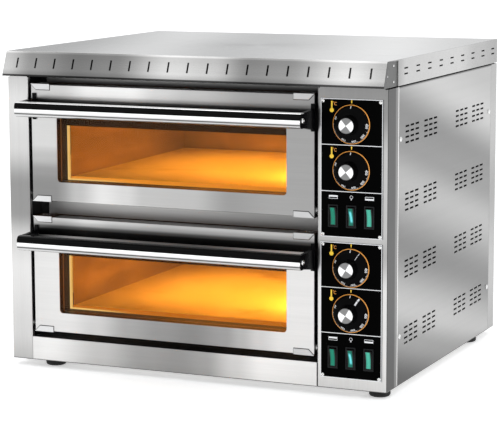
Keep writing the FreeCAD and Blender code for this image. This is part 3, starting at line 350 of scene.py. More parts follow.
def mineral_wool(name):
    shader = Shader(name)
    fibre = shader.noise(260.0, 6.0, (1, 1, 5))
    colour = shader.ramp(fibre, 0.3, 0.7, ((0, (0.05, 0.045, 0.03)), (1, (0.11, 0.10, 0.075))))
    shader.principled(Base_Color=colour, Roughness=0.95, Sheen_Weight=0.4)
    shader.bump(fibre, 1.2 * MM)
    return shader.material


def printed_ink(name, colour):
    shader = Shader(name)
    screen = shader.noise(1800.0, 2.0)
    tinted = shader.worn(colour, screen, 0.92)
    shader.principled(Base_Color=tinted, Roughness=0.42)
    return shader.material


LENS_HALF = 3.2 * MM
LENS_TALL = 11.4 * MM


def lit_plastic(name, centre, colour, glow, streak):
    """Green lens with a neon behind it in a black rocker; the lens can carry a painted highlight streak."""
    shader = Shader(name)
    grit = shader.noise(900.0, 3.0)
    x = shader.minus(shader.axis("X"), centre.x)
    z = shader.minus(shader.axis("Z"), centre.z)
    across = shader.maths("ABSOLUTE", x)
    up = shader.maths("ABSOLUTE", z)
    lens = shader.times(shader.less(across, LENS_HALF), shader.less(up, LENS_TALL))
    rim = shader.ramp(across, 1.2 * MM, LENS_HALF, ((0, 1.0), (0.6, 0.8), (1, 0.5)))
    tinted = shader.worn(colour, grit, 0.9)
    tinted = shader.multiply(tinted, rim)
    # Painted highlight: a leaning cyan streak down the lens.
    if streak:
        lean = shader.maths("ADD", x, shader.times(z, 0.12))
        glint = shader.ramp(shader.maths("ABSOLUTE", lean), 0.0, 2.4 * MM,
                            ((0, 1.0), (0.35, 0.7), (1, 0.0)))
        ends = shader.ramp(up, 5.0 * MM, 9.0 * MM, ((0, 1.0), (1, 0.0)))
        tinted = shader.mix(shader.multiply(glint, ends), tinted, (0.14, 0.66, 0.70))
    seen = shader.mix(lens, (0.004, 0.004, 0.004), tinted)
    shader.principled(Base_Color=seen, Roughness=0.22, Specular_IOR_Level=0.2, Emission_Color=seen,
                      Emission_Strength=glow)
    shader.bump(grit, 0.01 * MM, CAST_EDGE)
    return shader.material


# ---------------- mesh building
def add_object(name, data):
    item = bpy.data.objects.new(name, data)
    bpy.context.scene.collection.objects.link(item)
    return item


def piece(name, bm, body, material, replaces=(), smooth=35):
    """A finished mesh that rides on a body; smooth is the sharpest angle, in degrees, left soft."""
    bmesh.ops.recalc_face_normals(bm, faces=bm.faces)
    mesh = bpy.data.meshes.new(name)
    bm.to_mesh(mesh)
    bm.free()
    item = add_object(name, mesh)
    mesh.materials.append(material)
    if smooth:
        mesh.polygons.foreach_set("use_smooth", [True] * len(mesh.polygons))
        mesh.set_sharp_from_angle(angle=math.radians(smooth))
    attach(item, body)
    if replaces:
        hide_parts(*replaces)


def join_rings(bm, rings):
    """Faces between neighbouring rings; a ring of one vertex is a closed end."""
    for first, second in zip(rings, rings[1:]):
        segments = max(len(first), len(second))
        if segments == 1:
            continue
        for step in range(segments):
            after = (step + 1) % segments
            if len(first) == 1:
                bm.faces.new((first[0], second[step], second[after]))
            elif len(second) == 1:
                bm.faces.new((first[step], first[after], second[0]))
            else:
                bm.faces.new((first[step], first[after], second[after], second[step]))


def ring(bm, middle, radius, side, other, segments, flute=0.0):
    """Points round a middle, from one direction to the other; each flute is one point that dips in."""
    if radius == 0:
        return [bm.verts.new(middle)]
    points = []
    for step in range(segments):
        angle = 2 * math.pi * step / segments
        reach = radius - (0 if step % FLUTE_SIDES else flute)
        points.append(bm.verts.new(middle + (side * math.cos(angle) + other * math.sin(angle)) * reach))
    return points


def lathe(bm, profile, centre, towards, segments):
    """Turn (radius, height) points about an axis; points at radius 0 close the ends."""
    axis = Vector(towards).normalized()
    side = axis.orthogonal().normalized()
    other = axis.cross(side)
    join_rings(bm, [ring(bm, Vector(centre) + axis * height, radius, side, other, segments)
                    for radius, height in profile])


def prism(bm, points, thickness, towards=FRONT):
    """A flat closed solid: an outline in space, pushed along a direction."""
    lift = Vector(towards) * thickness
    base = [bm.verts.new(point) for point in points]
    lid = [bm.verts.new(vert.co + lift) for vert in base]
    bm.faces.new(base)
    bm.faces.new(list(reversed(lid)))
    for index in range(len(points)):
        after = (index + 1) % len(points)
        bm.faces.new((base[index], base[after], lid[after], lid[index]))


def islands(node):
    """Lowest and highest corner of each separate solid of a CAD node."""
    bm = bmesh.new()
    bm.from_mesh(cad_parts[node].data)
    bmesh.ops.remove_doubles(bm, verts=bm.verts, dist=0.005 * MM)
    left = set(bm.verts)
    found = []
    while left:
        stack = [left.pop()]
        group = [stack[0]]
        while stack:
            for edge in stack.pop().link_edges:
                for vert in edge.verts:
                    if vert in left:
                        left.remove(vert)
                        stack.append(vert)
                        group.append(vert)
        corners = [vert.co for vert in group]
        low = Vector([min(corner[i] for corner in corners) for i in range(3)])
        high = Vector([max(corner[i] for corner in corners) for i in range(3)])
        found.append((low, high))
    bm.free()
    return sorted(found, key=lambda pair: tuple(round(value, 4) for value in pair[0]))


def in_mm(*pairs):
    return [(first * MM, second * MM) for first, second in pairs]


def node_material(material, *nodes):
    for name in nodes:
        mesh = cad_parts[name].data
        mesh.materials.clear()
        mesh.materials.append(material)


def middle_of(node):
    low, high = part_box(node)
    return (low + high) / 2


# ---------------- casing
SILL_HALF = 6 * MM
SILL_POWER = 0.55


def sill_glow(shader):
    """Painted glow on the facade just below each chamber's mouth, for the light from behind the window."""
    total = 0.0
    for deck in DECKS:
        low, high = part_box(deck + "_inner_glass")
        inside = shader.less(shader.away("X", (low.x + high.x) / 2), (high.x - low.x) / 2)
        near = shader.less(shader.away("Z", low.z), SILL_HALF)
        total = shader.maths("ADD", total, shader.times(inside, near))
    return shader.times(total, SILL_POWER)


# Where a sheet's tone changes: under the visor, at the chambers' mouths, round the rear corner.
VISOR_LOW = 0.4145
UPPER_MOUTH = 0.3
LOWER_MOUTH = 0.1
REAR_WRAP = 0.283


def dress_casing():
    """Materials of the casing; each sheet has its own painted bands of reflected studio and painted shade."""
    post = bands(Z, 0.0, 0.42, (0, 0.74), (0.12, 0.84), (0.34, 0.89), (0.43, 0.83), (0.53, 0.6), (0.62, 0.6),
                 (0.76, 0.85), (0.9, 0.9), (1, 0.82))
    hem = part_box("left_front_post")[0].z
    bezel_front = bands(Z, 0.0, 0.415, (0, 0.8), (0.12, 0.84), (0.34, 0.84), (0.47, 0.66), (0.55, 0.72),
                        (0.78, 0.74), (0.93, 0.56), (1, 0.54))
    bezel_side = bands(Y, -0.22, -0.179, (0, 0.27), (0.7, 0.27), (0.85, 0.5), (1, 0.5))
    bezel = split(Y, -0.2185, bezel_front, bezel_side)
    ledge = bands(X, -0.252, 0.185, (0, 0.88), (0.06, 0.9), (0.25, 0.74), (0.4, 0.61), (0.53, 0.575),
                  (0.62, 0.62), (0.72, 0.8), (0.82, 0.92), (1, 0.88))
    side = bands((0, 0.28, 1), -0.03, 0.46, (0, 0.27), (0.12, 0.57), (0.2, 0.69), (0.375, 0.43), (0.55, 0.65),
                 (0.66, 0.50), (0.74, 0.47), (0.88, 0.74), (1, 0.68))
    # Painted shadow under the fascia along the side panel's top, and a painted highlight along its front
    # edge.
    side = product(side, bands(Z, 0.4105, 0.4135, (0, 1.0), (1, 0.25)))
    side = split(Y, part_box("right_side_panel")[0].y + 1.3 * MM, flat(1.0), side)
    rear = bands(Z, 0.0, 0.41, (0, 0.76), (0.3, 0.8), (0.55, 0.7), (0.8, 0.82), (1, 0.78))
    # Painted shade on the rear panel where it wraps round the corner.
    rear = split(X, REAR_WRAP, rear, product(rear, flat(0.85)))
    sheets = (("post", "Z", hemmed(product(post, flat(0.94)), hem), ("left_front_post",)),
              ("bezel", "Z", hemmed(bezel, hem), ("control_bezel",)),
              ("ledge", "X", hemmed(ledge, hem), ("lower_front_panel",)),
              ("side", "Y", hemmed(side, hem), ("left_side_panel", "right_side_panel")),
              ("rear", "X", rear, ("rear_panel",)))
    for name, brush, tone, nodes in sheets:
        node_material(brushed_steel(name + "_steel", brush, tone), *nodes)
    node_material(brushed_steel("cover_steel", "X", cover_tone(), roughness=0.26), "top_cover")
    node_material(brushed_steel("base_steel", "X", flat(0.75), roughness=0.36), "base_pan")
    # Painted shade on the facade: dark behind the visor, darker below the lower mouth, fading along X.
    above = split(Z, VISOR_LOW, bands(Z, 0.402, 0.414, (0, 0.5), (1, 1.0)), flat(0.1))
    shade = split(Z, UPPER_MOUTH, split(Z, LOWER_MOUTH, flat(0.3), flat(0.9)), above)
    fade = bands(X, -0.25, 0.185, (0, 0.95), (0.25, 1.0), (1, 0.78))
    facade = brushed_steel("facade_steel", "X", product(shade, fade), roughness=0.5, lit=sill_glow)
    node_material(facade, "front_facade")
    # The visor cheeks get a flat dark grey: painted shade of the chamfered corner plates.
    node_material(moulded("cheek_paint", (0.055, 0.055, 0.052), 0.35),
                  "left_visor_cheek", "right_visor_cheek")
    # The jamb and the partition are plain near black.
    node_material(moulded("recess_black", (0.006, 0.006, 0.006), 0.5, shine=0.1),
                  "left_jamb", "control_partition")
    node_material(mineral_wool("wool"), "insulation")
    node_material(moulded("switch_body", (0.02, 0.02, 0.02), 0.45), "thermostats")


def cover_tone():
    """Painted reflections: diagonal bands over the top, upright ones along the visor, a painted highlight
    along the fold between them and a shaded lip below it.
    """
    top = bands((1, 0.32, 0), -0.36, 0.37, (0, 0.48), (0.07, 0.49), (0.3, 0.80), (0.48, 0.58), (0.78, 0.92),
                (0.955, 0.78), (1, 0.75))
    edge = split(FRONT, 0.2188, top, flat(1.0))
    visor = bands(X, -0.284, 0.284, (0, 0.72), (0.08, 0.52), (0.2, 0.42), (0.3, 0.46), (0.46, 0.74),
                  (0.56, 0.69), (0.66, 0.48), (0.75, 0.52), (0.92, 0.82), (1, 0.72))
    slope = bands(Z, 0.416, 0.450, (0, 0.3), (0.06, 0.35), (0.1, 0.9), (0.3, 1.0), (0.9, 0.94),
                  (0.97, 1.15), (1, 1.15))
    lit_visor = product(visor, slope)
    fascia = bands(Y, -0.22, 0.26, (0, 0.31), (0.08, 0.62), (0.15, 0.73), (0.6, 0.75), (0.8, 0.65), (1, 0.59))
    return split(X, 0.2836, split(FRONT, 0.2213, edge, lit_visor), fascia)


SCREW_SOCKET = 0.42
TALL_HEAD = 2.2 * MM
LOW_HEAD = 1.3 * MM
NEAR = 0.5 * MM


def make_heads(name, node, body, material, heights):
    """Replace a group of plain fastener heads by crowned heads with round recesses."""
    bm = bmesh.new()
    for low, high in islands(node):
        size = high - low
        direction, height = heights(low, high, size)
        index = max(range(3), key=lambda i: abs(direction[i]))
        radius = max(size[i] for i in range(3) if i != index) / 2
        tip = high[index] if direction[index] > 0 else low[index]
        centre = (low + high) / 2
        centre[index] = tip - height * direction[index]
        crown(bm, centre, direction, radius, height)
    piece(name, bm, body, material, replaces=(node,), smooth=40)


def crown(bm, centre, direction, radius, height):
    """A closed domed head; larger ones have a round recess."""
    steps = 6
    profile = [(0, 0), (radius, 0), (radius, height * 0.25)]
    for step in range(1, steps):
        angle = math.pi / 2 * step / steps
        profile.append((radius * math.cos(angle) ** 0.7, height * (0.25 + 0.75 * math.sin(angle))))
    inner = radius * SCREW_SOCKET
    if radius > 2 * MM:
        profile = [point for point in profile if point[0] > inner or point == (0, 0)]
        profile += [(inner, height * 0.96), (inner * 0.5, height * 0.45), (0, height * 0.4)]
    else:
        profile.append((0, height))
    lathe(bm, profile, centre, direction, 24)


def make_fasteners():
    screw_steel = polished("screw_steel", (0.78, 0.78, 0.77), 0.16)

    def on_case(low, high, size):
        left_edge, right_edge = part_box("left_side_panel")[0].x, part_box("right_side_panel")[1].x
        if high.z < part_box("base_pan")[0].z + NEAR:
            return Vector((0, 0, -1)), size.z
        if high.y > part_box("rear_panel")[1].y + NEAR:
            return Vector(Y), TALL_HEAD
        if low.x < left_edge + NEAR:
            return Vector((-1, 0, 0)), min(size.x, TALL_HEAD)
        if high.x > right_edge - 1.6 * MM:
            return Vector(X), min(size.x, TALL_HEAD)
        return Vector(FRONT), LOW_HEAD

    make_heads("casing_fasteners", "case_screws", "root", screw_steel, on_case)
    for deck in DECKS:
        door_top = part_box(deck + "_door_skin")[1].z

        def on_door(low, high, size):
            if low.z > door_top - 0.2 * MM:
                return Vector(Z), size.z
            outward = 1 if low.x > 0 else -1
            return Vector((outward, 0, 0)), size.x

        make_heads(deck + "_door_fasteners", deck + "_door_screws", deck + "_door", screw_steel, on_door)
    node_material(screw_steel, *[deck + "_hinge_pins" for deck in DECKS])


def make_feet():
    """Round rubber feet with a ribbed rim and a recessed tread."""
    bm = bmesh.new()
    for low, high in islands("feet"):
        radius = (high.x - low.x) / 2
        height = high.z - low.z
        centre = Vector(((low.x + high.x) / 2, (low.y + high.y) / 2, low.z))
        profile = [(0, 1.2 * MM), (radius * 0.45, 1.2 * MM), (radius * 0.5, 0), (radius - 3 * MM, 0),
                   (radius - 1.2 * MM, 0.8 * MM), (radius - 0.6 * MM, 1.8 * MM)]
        for rib in range(3):
            level = (2.4 + 1.4 * rib) * MM
            profile += [(radius, level), (radius, level + 0.7 * MM), (radius - 0.5 * MM, level + 1.0 * MM)]
        profile += [(radius - 0.2 * MM, height - 0.6 * MM), (radius - 0.8 * MM, height), (0, height)]
        lathe(bm, profile, centre, Z, 48)
    rubber = moulded("foot_rubber", (0.012, 0.012, 0.012), 0.62, 0.05 * MM)
    piece("rubber_feet", bm, "root", rubber, replaces=("feet",))


GLAND_RIBS = 18
GLAND_RIB_RADIUS = 8.3 * MM
GLAND_RIB_START = 5.6 * MM
GLAND_RIB_TALL = 2.2 * MM


def make_gland():
    """Grip ribs round the cable gland's dome nut."""
    low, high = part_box("cable_gland")
    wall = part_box("rear_panel")[1].y
    centre = Vector(((low.x + high.x) / 2, wall, (low.z + high.z) / 2))
    plastic = moulded("gland_plastic", (0.03, 0.03, 0.032), 0.4)
    node_material(plastic, "cable_gland")
    bm = bmesh.new()
    start = GLAND_RIB_START
    end = high.y - wall - GLAND_RIB_TALL
    for step in range(GLAND_RIBS):
        angle = 2 * math.pi * step / GLAND_RIBS
        outward = Vector((math.cos(angle), 0, math.sin(angle)))
        along = Vector((-math.sin(angle), 0, math.cos(angle)))
        foot = centre + outward * GLAND_RIB_RADIUS
        corners = ((-0.7 * MM, start), (0.7 * MM, start), (0.5 * MM, end), (-0.5 * MM, end))
        points = [foot + along * half + Vector((0, y, 0)) for half, y in corners]
        prism(bm, points, GLAND_RIB_TALL, outward)
    piece("gland_ribs", bm, "root", plastic, smooth=0)


# ---------------- chambers
def dress_chambers():
    liner = chamber_steel("chamber_steel")
    stone = fire_stone("fire_stone")
    heater = heater_skin("heater_skin")
    for deck in DECKS:
        node_material(liner, deck + "_chamber_liner")
        node_material(stone, deck + "_baking_stone")
        node_material(heater, deck + "_top_element", deck + "_bottom_element")
    lens = Shader("lamp_lens")
    ribs = lens.node("TexWave", {"wave_type": "RINGS", "rings_direction": "X"}, Vector=lens.place,
                     Scale=120.0).outputs["Fac"]
    lens.principled(Base_Color=(1.0, 0.86, 0.55), Roughness=0.2, Emission_Color=(1.0, 0.62, 0.22),
                    Emission_Strength=lens.spread(ribs, 3.0, 6.0))
    node_material(lens.material, "chamber_lamps")


LAMP_POWER = 0.85
LAMP_LIGHT = (1.0, 0.50, 0.12)
CHAMBER_GLOW = {"lower": 0.42, "upper": 0.31}
CHAMBER_LIGHT = (1.0, 0.52, 0.12)
GLOW_SIZE = (0.26, 0.26)


def light_chambers():
    """The lamp in each chamber's right wall, and the even warm light under its roof."""
    for low, high in islands("chamber_lamps"):
        lamp = bpy.data.lights.new("chamber_lamp", "POINT")
        lamp.energy = LAMP_POWER
        lamp.color = LAMP_LIGHT
        lamp.shadow_soft_size = 12 * MM
        item = add_object("chamber_lamp", lamp)
        item.location = (low.x - 20 * MM, (low.y + high.y) / 2 - 20 * MM, (low.z + high.z) / 2)
    for deck in DECKS:
        low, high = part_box(deck + "_chamber_liner")
        middle = (low + high) / 2
        roof = high.z - 22 * MM
        add_area(deck + "_chamber_glow", (middle.x, middle.y, roof), (middle.x, middle.y, 0), GLOW_SIZE,
                 CHAMBER_GLOW[deck], CHAMBER_LIGHT)


# ---------------- doors
HEAD_TALL = 25 * MM
STILE_WIDE = 42 * MM


def door_tones():
    """Painted reflections on the two door sheets: bands of the studio, and the black handle in the sheet
    above it.
    """
    low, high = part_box("upper_door_skin")
    stile = bands(Z, low.z, 0.34, (0, 0.56), (0.25, 0.565), (0.42, 0.615), (0.62, 0.75), (0.82, 0.855),
                  (1, 0.86))
    sill = bands(X, low.x, high.x, (0.1, 0.6), (0.168, 0.76), (0.26, 0.905), (0.343, 0.85), (0.41, 0.77),
                 (0.577, 0.75), (0.717, 0.615), (0.87, 0.65), (1, 0.65))
    head = bands(X, low.x, high.x, (0, 0.76), (0.11, 0.79), (0.22, 0.91), (0.36, 0.92), (0.46, 0.81),
                 (0.577, 0.74), (0.81, 0.6), (0.92, 0.58), (1, 0.57))
    below = split(X, low.x + STILE_WIDE, stile, sill, 6 * MM)
    mirrored = bands(Z, 0.379, 0.391, (0, 0.2), (0.3, 0.35), (0.6, 0.85), (1, 1.0))
    upper = split(Z, high.z - HEAD_TALL, product(below, flat(0.935)), product(head, mirrored))
    low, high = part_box("lower_door_skin")
    front = bands(X, low.x, high.x, (0, 0.92), (0.11, 0.935), (0.227, 0.85), (0.343, 0.69), (0.46, 0.62),
                  (0.577, 0.575), (0.694, 0.65), (0.75, 0.74), (0.81, 0.845), (0.89, 0.93), (1, 0.93))
    head = bands(X, low.x, high.x, (0, 0.72), (0.1, 0.73), (0.2, 0.83), (0.32, 0.75), (0.5, 0.69), (1, 0.7))
    mirrored = bands(Z, 0.194, 0.214, (0, 0.14), (0.3, 0.2), (0.5, 0.5), (0.75, 0.88), (1, 1.0))
    lower = split(Z, high.z - HEAD_TALL, product(front, flat(0.9)), product(head, mirrored))
    return {"upper": upper, "lower": lower}


TAB_LENGTH = 29.5 * MM
TAB_TALL = 8 * MM


def tab_outlines(deck, tone):
    """The thin shadow that each folded corner tab throws on the sheet beside it."""
    low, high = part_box(deck + "_door_liner")
    half = (high.x - low.x) / 2

    def build(shader):
        inward = shader.minus(half, shader.away("X", (low.x + high.x) / 2))
        up = shader.minus(shader.axis("Z"), low.z)
        down = shader.minus(high.z, shader.axis("Z"))
        from_edge = shader.maths("MINIMUM", up, down)
        near = shader.times(shader.less(inward, TAB_LENGTH + 0.8 * MM),
                            shader.less(from_edge, TAB_TALL + 1.0 * MM))
        near = shader.times(near, shader.less(shader.minus(from_edge, inward), 1.3 * MM))
        return shader.mix(near, tone(shader), (0.05, 0.05, 0.05))
    return build


def inner_pane(deck):
    """The chamber-side pane: a dark band along its top, painted glowing rims at its left and lower left."""
    low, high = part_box(deck + "_inner_glass")
    band = high.z - 18 * MM

    def border(shader):
        return shader.past(Z, band, 0.6 * MM)

    def rim(shader):
        left = shader.less(shader.axis("X"), low.x + 2.4 * MM)
        left = shader.times(left, shader.less(shader.axis("Z"), band))
        fade = shader.past((-1, 0, 0), -low.x - 60 * MM, 50 * MM)
        below = shader.times(shader.less(shader.axis("Z"), low.z + 1.5 * MM), fade)
        return shader.maths("MAXIMUM", left, below)
    return tinted_glass(deck + "_inner_window", border, rim)


def dress_doors():
    tones = door_tones()
    pane = tinted_glass("window_glass")
    for deck in DECKS:
        low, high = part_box(deck + "_door_skin")
        # The skin's folded returns behind its front face get a painted shade.
        folds = split(Y, low.y + 0.8 * MM, tab_outlines(deck, tones[deck]), flat(0.5))
        black = moulded(deck + "_bracket_plastic", (0.003, 0.003, 0.0035), 0.2, shine=0.05)
        looks = {"door_skin": brushed_steel(deck + "_door_steel", "X", folds), "outer_glass": pane,
                 "door_liner": door_liner_metal(deck), "inner_glass": inner_pane(deck),
                 "handle_bar": handle_bar_metal(deck), "handle_brackets": black}
        for part, look in looks.items():
            node_material(look, f"{deck}_{part}")


SEAM_DEEP = 27.5 * MM
SEAM_HALF = 1.1 * MM


def door_liner_metal(deck):
    """Bright tabs on the front, heat-browned walls round the window and plain steel on the back."""
    low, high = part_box(deck + "_door_liner")
    shader = Shader(deck + "_liner_steel")
    cloud = shader.noise(18.0, 3.0)
    walls = shader.times(shader.past(Y, low.y + 1.2 * MM), shader.past(FRONT, -high.y + 1.4 * MM))
    # Painted shade: the liner's steel is darker towards its right end.
    side = bands(X, low.x, high.x, (0, 0.84), (0.5, 0.84), (1, 0.76))
    steel = shader.worn(side(shader), cloud, 0.92)
    browned = shader.worn((0.030, 0.010, 0.003), cloud, 0.75)
    seam = shader.less(shader.away("Y", low.y + SEAM_DEEP), SEAM_HALF)
    browned = shader.mix(seam, browned, (0.34, 0.17, 0.07))
    shader.principled(Base_Color=shader.mix(walls, steel, browned), Metallic=shader.spread(walls, 1.0, 0.0),
                      Specular_IOR_Level=shader.spread(walls, 0.5, 0.06),
                      Roughness=shader.spread(cloud, 0.3, 0.42))
    shader.bump(cloud, 0.02 * MM, CAST_EDGE)
    return shader.material


# Painted grey and painted glow of the edge between the bar's dark reflection band and its top;
# only the upper one gets the painted highlight.
CREST_LOOKS = {"lower": (0.2, 0.0), "upper": (0.98, 0.35)}
CREST_TALL = 1.1 * MM
DARK_REFLECTION_LOW = 9.2 * MM


def handle_bar_metal(deck):
    """Bright bar with painted reflections: a black band along the upper half of its front and a painted
    shadow line below.
    """
    low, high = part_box(deck + "_handle_bar")
    shader = Shader(deck + "_handle_metal")
    wipe = shader.noise(60.0, 3.0, (1, 8, 8))
    dark_reflection = shader.times(shader.past(Z, high.z - DARK_REFLECTION_LOW),
                         shader.past((0, 0, -1), -(high.z - CREST_TALL)))
    dark_reflection = shader.times(dark_reflection, shader.past(FRONT, -(low.y + high.y) / 2))
    crest, glow = CREST_LOOKS[deck]
    shine = bands(Z, low.z, high.z, (0, 0.2), (0.07, 0.78), (0.16, 0.8), (0.21, 0.4), (0.26, 0.42),
                  (0.3, 0.84), (0.36, 0.86), (0.42, 1.0), (0.55, 0.96), (0.92, crest), (1, crest))
    colour = shader.mix(dark_reflection, shine(shader), (0.003, 0.003, 0.003))
    shader.principled(Base_Color=colour, Metallic=shader.spread(dark_reflection, 1.0, 0.0),
                      Specular_IOR_Level=shader.spread(dark_reflection, 0.5, 0.04),
                      Roughness=shader.spread(wipe, 0.12, 0.17),
                      Emission_Color=(1.0, 1.0, 1.0),
                      Emission_Strength=shader.times(shader.past(Z, high.z - CREST_TALL), glow))
    shader.bump(wipe, 0.003 * MM, FINE_EDGE)
    return shader.material


# ---------------- controls
INK = 0.08 * MM


def ring_points(centre, radius, steps, start=0.0, end=2 * math.pi):
    """Points round a centre on the plate's face; angle 0 is straight up."""
    angles = [start + (end - start) * step / steps for step in range(steps + 1)]
    return [centre + Vector((radius * math.sin(angle), 0, radius * math.cos(angle))) for angle in angles]


def stroke(bm, points, width):
    """A raised printed line of constant width through points on the plate's face."""
    for first, second in zip(points, points[1:]):
        along = (second - first).normalized()
        side = Vector((-along.z, 0, along.x)) * width / 2
        prism(bm, [first - side, second - side, second + side, first + side], INK)


def panel_rect(bm, left, right, low, high, y):
    corners = ((left, low), (right, low), (right, high), (left, high))
    prism(bm, [Vector((x, y, z)) for x, z in corners], INK)


# Where the print sits: across the oven, and up from the plate's lower edge or a knob's middle.
FRAME_LINE = 0.9 * MM
SWITCH_LINE_UP = 61.2 * MM
SYMBOL_UP = 53.5 * MM
KNOB_LINE_UP = 2.9 * MM
BULB_X = 206.3 * MM
BULB_UP = 18 * MM
INDEX_UP = 28.6 * MM


def print_plate(deck, white, yellow, orange):
    """White frame and dividers, thermometers, index marks and the three switch symbols."""
    low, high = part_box(deck + "_control_plate")
    y = low.y
    knobs = {heat: middle_of(f"{deck}_{heat}_knob") for heat in HEATS}
    switches = {name: middle_of(f"{deck}_{name}_rocker") for name in ROCKERS}
    line = FRAME_LINE
    bm = bmesh.new()
    for level in (high.z - line, low.z):
        panel_rect(bm, low.x, high.x, level, level + line, y)
    for left in (low.x, high.x - line):
        panel_rect(bm, left, left + line, low.z + line, high.z - line, y)
    between = (knobs["bottom_heat"].z + knobs["top_heat"].z) / 2
    for level in (between + KNOB_LINE_UP, low.z + SWITCH_LINE_UP):
        panel_rect(bm, low.x + line, high.x - line, level - line / 2, level + line / 2, y)
    symbol_z = low.z + SYMBOL_UP
    for name, top_filled in (("top_heat", True), ("bottom_heat", False)):
        deck_symbol(bm, Vector((switches[name].x, y, symbol_z)), top_filled)
    lamp_symbol(bm, Vector((switches["lamp"].x, y, symbol_z)))
    piece(deck + "_plate_print", bm, "root", white, smooth=0)
    bm = bmesh.new()
    marks = bmesh.new()
    for centre in knobs.values():
        bulb = Vector((BULB_X, y, centre.z + BULB_UP))
        thermometer(bm, bulb)
        degree_mark(marks, bulb + Vector((5.6 * MM, 0, 8.5 * MM)))
        index = Vector((centre.x, y, centre.z + INDEX_UP))
        corners = in_mm((-0.9, 3.2), (0.9, 3.2), (0.4, -1.0), (-0.4, -1.0))
        prism(bm, [index + Vector((x, 0, z)) for x, z in corners], INK)
    piece(deck + "_scale_print", bm, "root", yellow, smooth=0)
    piece(deck + "_degree_print", marks, "root", orange, smooth=0)


def deck_symbol(bm, centre, top_filled):
    """A chamber in outline with its top or bottom heater filled in."""
    half = 6.2 * MM
    tall = 2.3 * MM
    thin = 0.5 * MM
    thick = 2.2 * MM
    top, bottom = centre.z + tall, centre.z - tall
    for left in (centre.x - half, centre.x + half - thin):
        panel_rect(bm, left, left + thin, bottom, top, centre.y)
    above, below = (thick, thin) if top_filled else (thin, thick)
    for low, high in ((top - above, top), (bottom, bottom + below)):
        panel_rect(bm, centre.x - half + thin, centre.x + half - thin, low, high, centre.y)


def lamp_symbol(bm, centre):
    """A round bulb with its cap below."""
    bulb = centre + Vector((0, 0, 0.8 * MM))
    stroke(bm, ring_points(bulb, 2.0 * MM, 20), 0.5 * MM)
    for step in range(2):
        level = centre.z - (1.9 + 0.9 * step) * MM
        half = (1.0 - 0.3 * step) * MM
        panel_rect(bm, centre.x - half, centre.x + half, level - 0.3 * MM, level + 0.3 * MM, centre.y)


def thermometer(bm, bulb):
    """Round bulb below a straight stem."""
    prism(bm, ring_points(bulb, 2.9 * MM, 24)[:-1], INK)
    panel_rect(bm, bulb.x - 1.0 * MM, bulb.x + 1.0 * MM, bulb.z + 2.5 * MM, bulb.z + 12 * MM, bulb.y)


def degree_mark(bm, letter):
    """A small ring and an open C beside it."""
    stroke(bm, ring_points(letter, 1.9 * MM, 16, math.radians(135), math.radians(405)), 0.6 * MM)
    degree = letter + Vector((-2.9 * MM, 0, 2.2 * MM))
    stroke(bm, ring_points(degree, 0.6 * MM, 12), 0.3 * MM)


# Angles on the dial are in degrees, anticlockwise from the top.
NUMBERS = ((69, "50"), (154.5, "150"), (192, "250"), (229, "350"), (267, "450"))
NUMBER_RADIUS = 22.3 * MM
NUMBER_TALL = 4.4 * MM
NUMBER_BOLD = 0.09 * MM
NUMBER_LEAN = -35
FIRST_TICK = 90
TICK_STEP = 4.5
TICKS = 41
GLINT_ANGLE = -32

# Radius and distance in front of the plate, from the back edge to the cap's recess.
KNOB_PROFILE = in_mm((3.2, 0.4), (25.6, 0.4), (26, 0.8), (26, 1.2), (25.6, 1.7), (20.9, 5.0), (20.3, 5.25),
                     (19.5, 5.3), (14.2, 6.4), (13.2, 6.9), (12.6, 7.8), (12.3, 9.0), (11.8, 19.6),
                     (11.5, 20.4), (11.0, 20.9), (10.56, 21), (10.56, 20.2), (0, 20.2), (0, 14), (3.2, 14))
DIAL_EDGE = in_mm((25.15, 2.02), (25.6, 1.74), (26.02, 1.3), (26.02, 0.9), (26.08, 0.9), (26.08, 1.34),
                  (25.68, 1.84), (25.15, 2.14))
FLUTES = 36
FLUTE_SIDES = 4
FLUTE_DEEP = 0.45 * MM


def turn_loop(bm, profile, centre, segments, flute=0.0):
    """Turn a closed loop of (radius, distance in front of the plate) points about the knob's axis.

    The straight part of the grip can be finely fluted, so that greasy hands can turn it.
    """
    rings = []
    for radius, height in profile:
        grip = 9 * MM <= height <= 19.7 * MM and radius > 11.5 * MM
        rings.append(ring(bm, centre + Vector(FRONT) * height, radius, Vector(Z), Vector(X), segments,
                          flute if grip else 0.0))
    join_rings(bm, rings + rings[:1])


def number_mesh(text, height):
    """A printed number as a flat closed mesh, centred on its own middle."""
    curve = bpy.data.curves.new("dial_number", "FONT")
    curve.body = text
    curve.size = height
    curve.align_x = "CENTER"
    curve.align_y = "CENTER"
    curve.extrude = INK / 2
    curve.offset = NUMBER_BOLD
    curve.resolution_u = 3
    item = add_object("dial_number", curve)
    bpy.context.view_layer.update()
    mesh = bpy.data.meshes.new_from_object(item.evaluated_get(bpy.context.evaluated_depsgraph_get()))
    bpy.data.objects.remove(item)
    bpy.data.curves.remove(curve)
    return mesh


def on_dial(angle, radius, lift, tilt):
    """Stand something on the dial: anticlockwise angle from the top, outward is up."""
    turn = Matrix.Rotation(math.radians(-angle), 4, "Y")
    upright = Matrix.Rotation(math.radians(90), 4, "X")
    lean = Matrix.Rotation(math.radians(tilt), 4, "X")
    return turn @ Matrix.Translation(Vector((0, -lift, radius))) @ lean @ upright


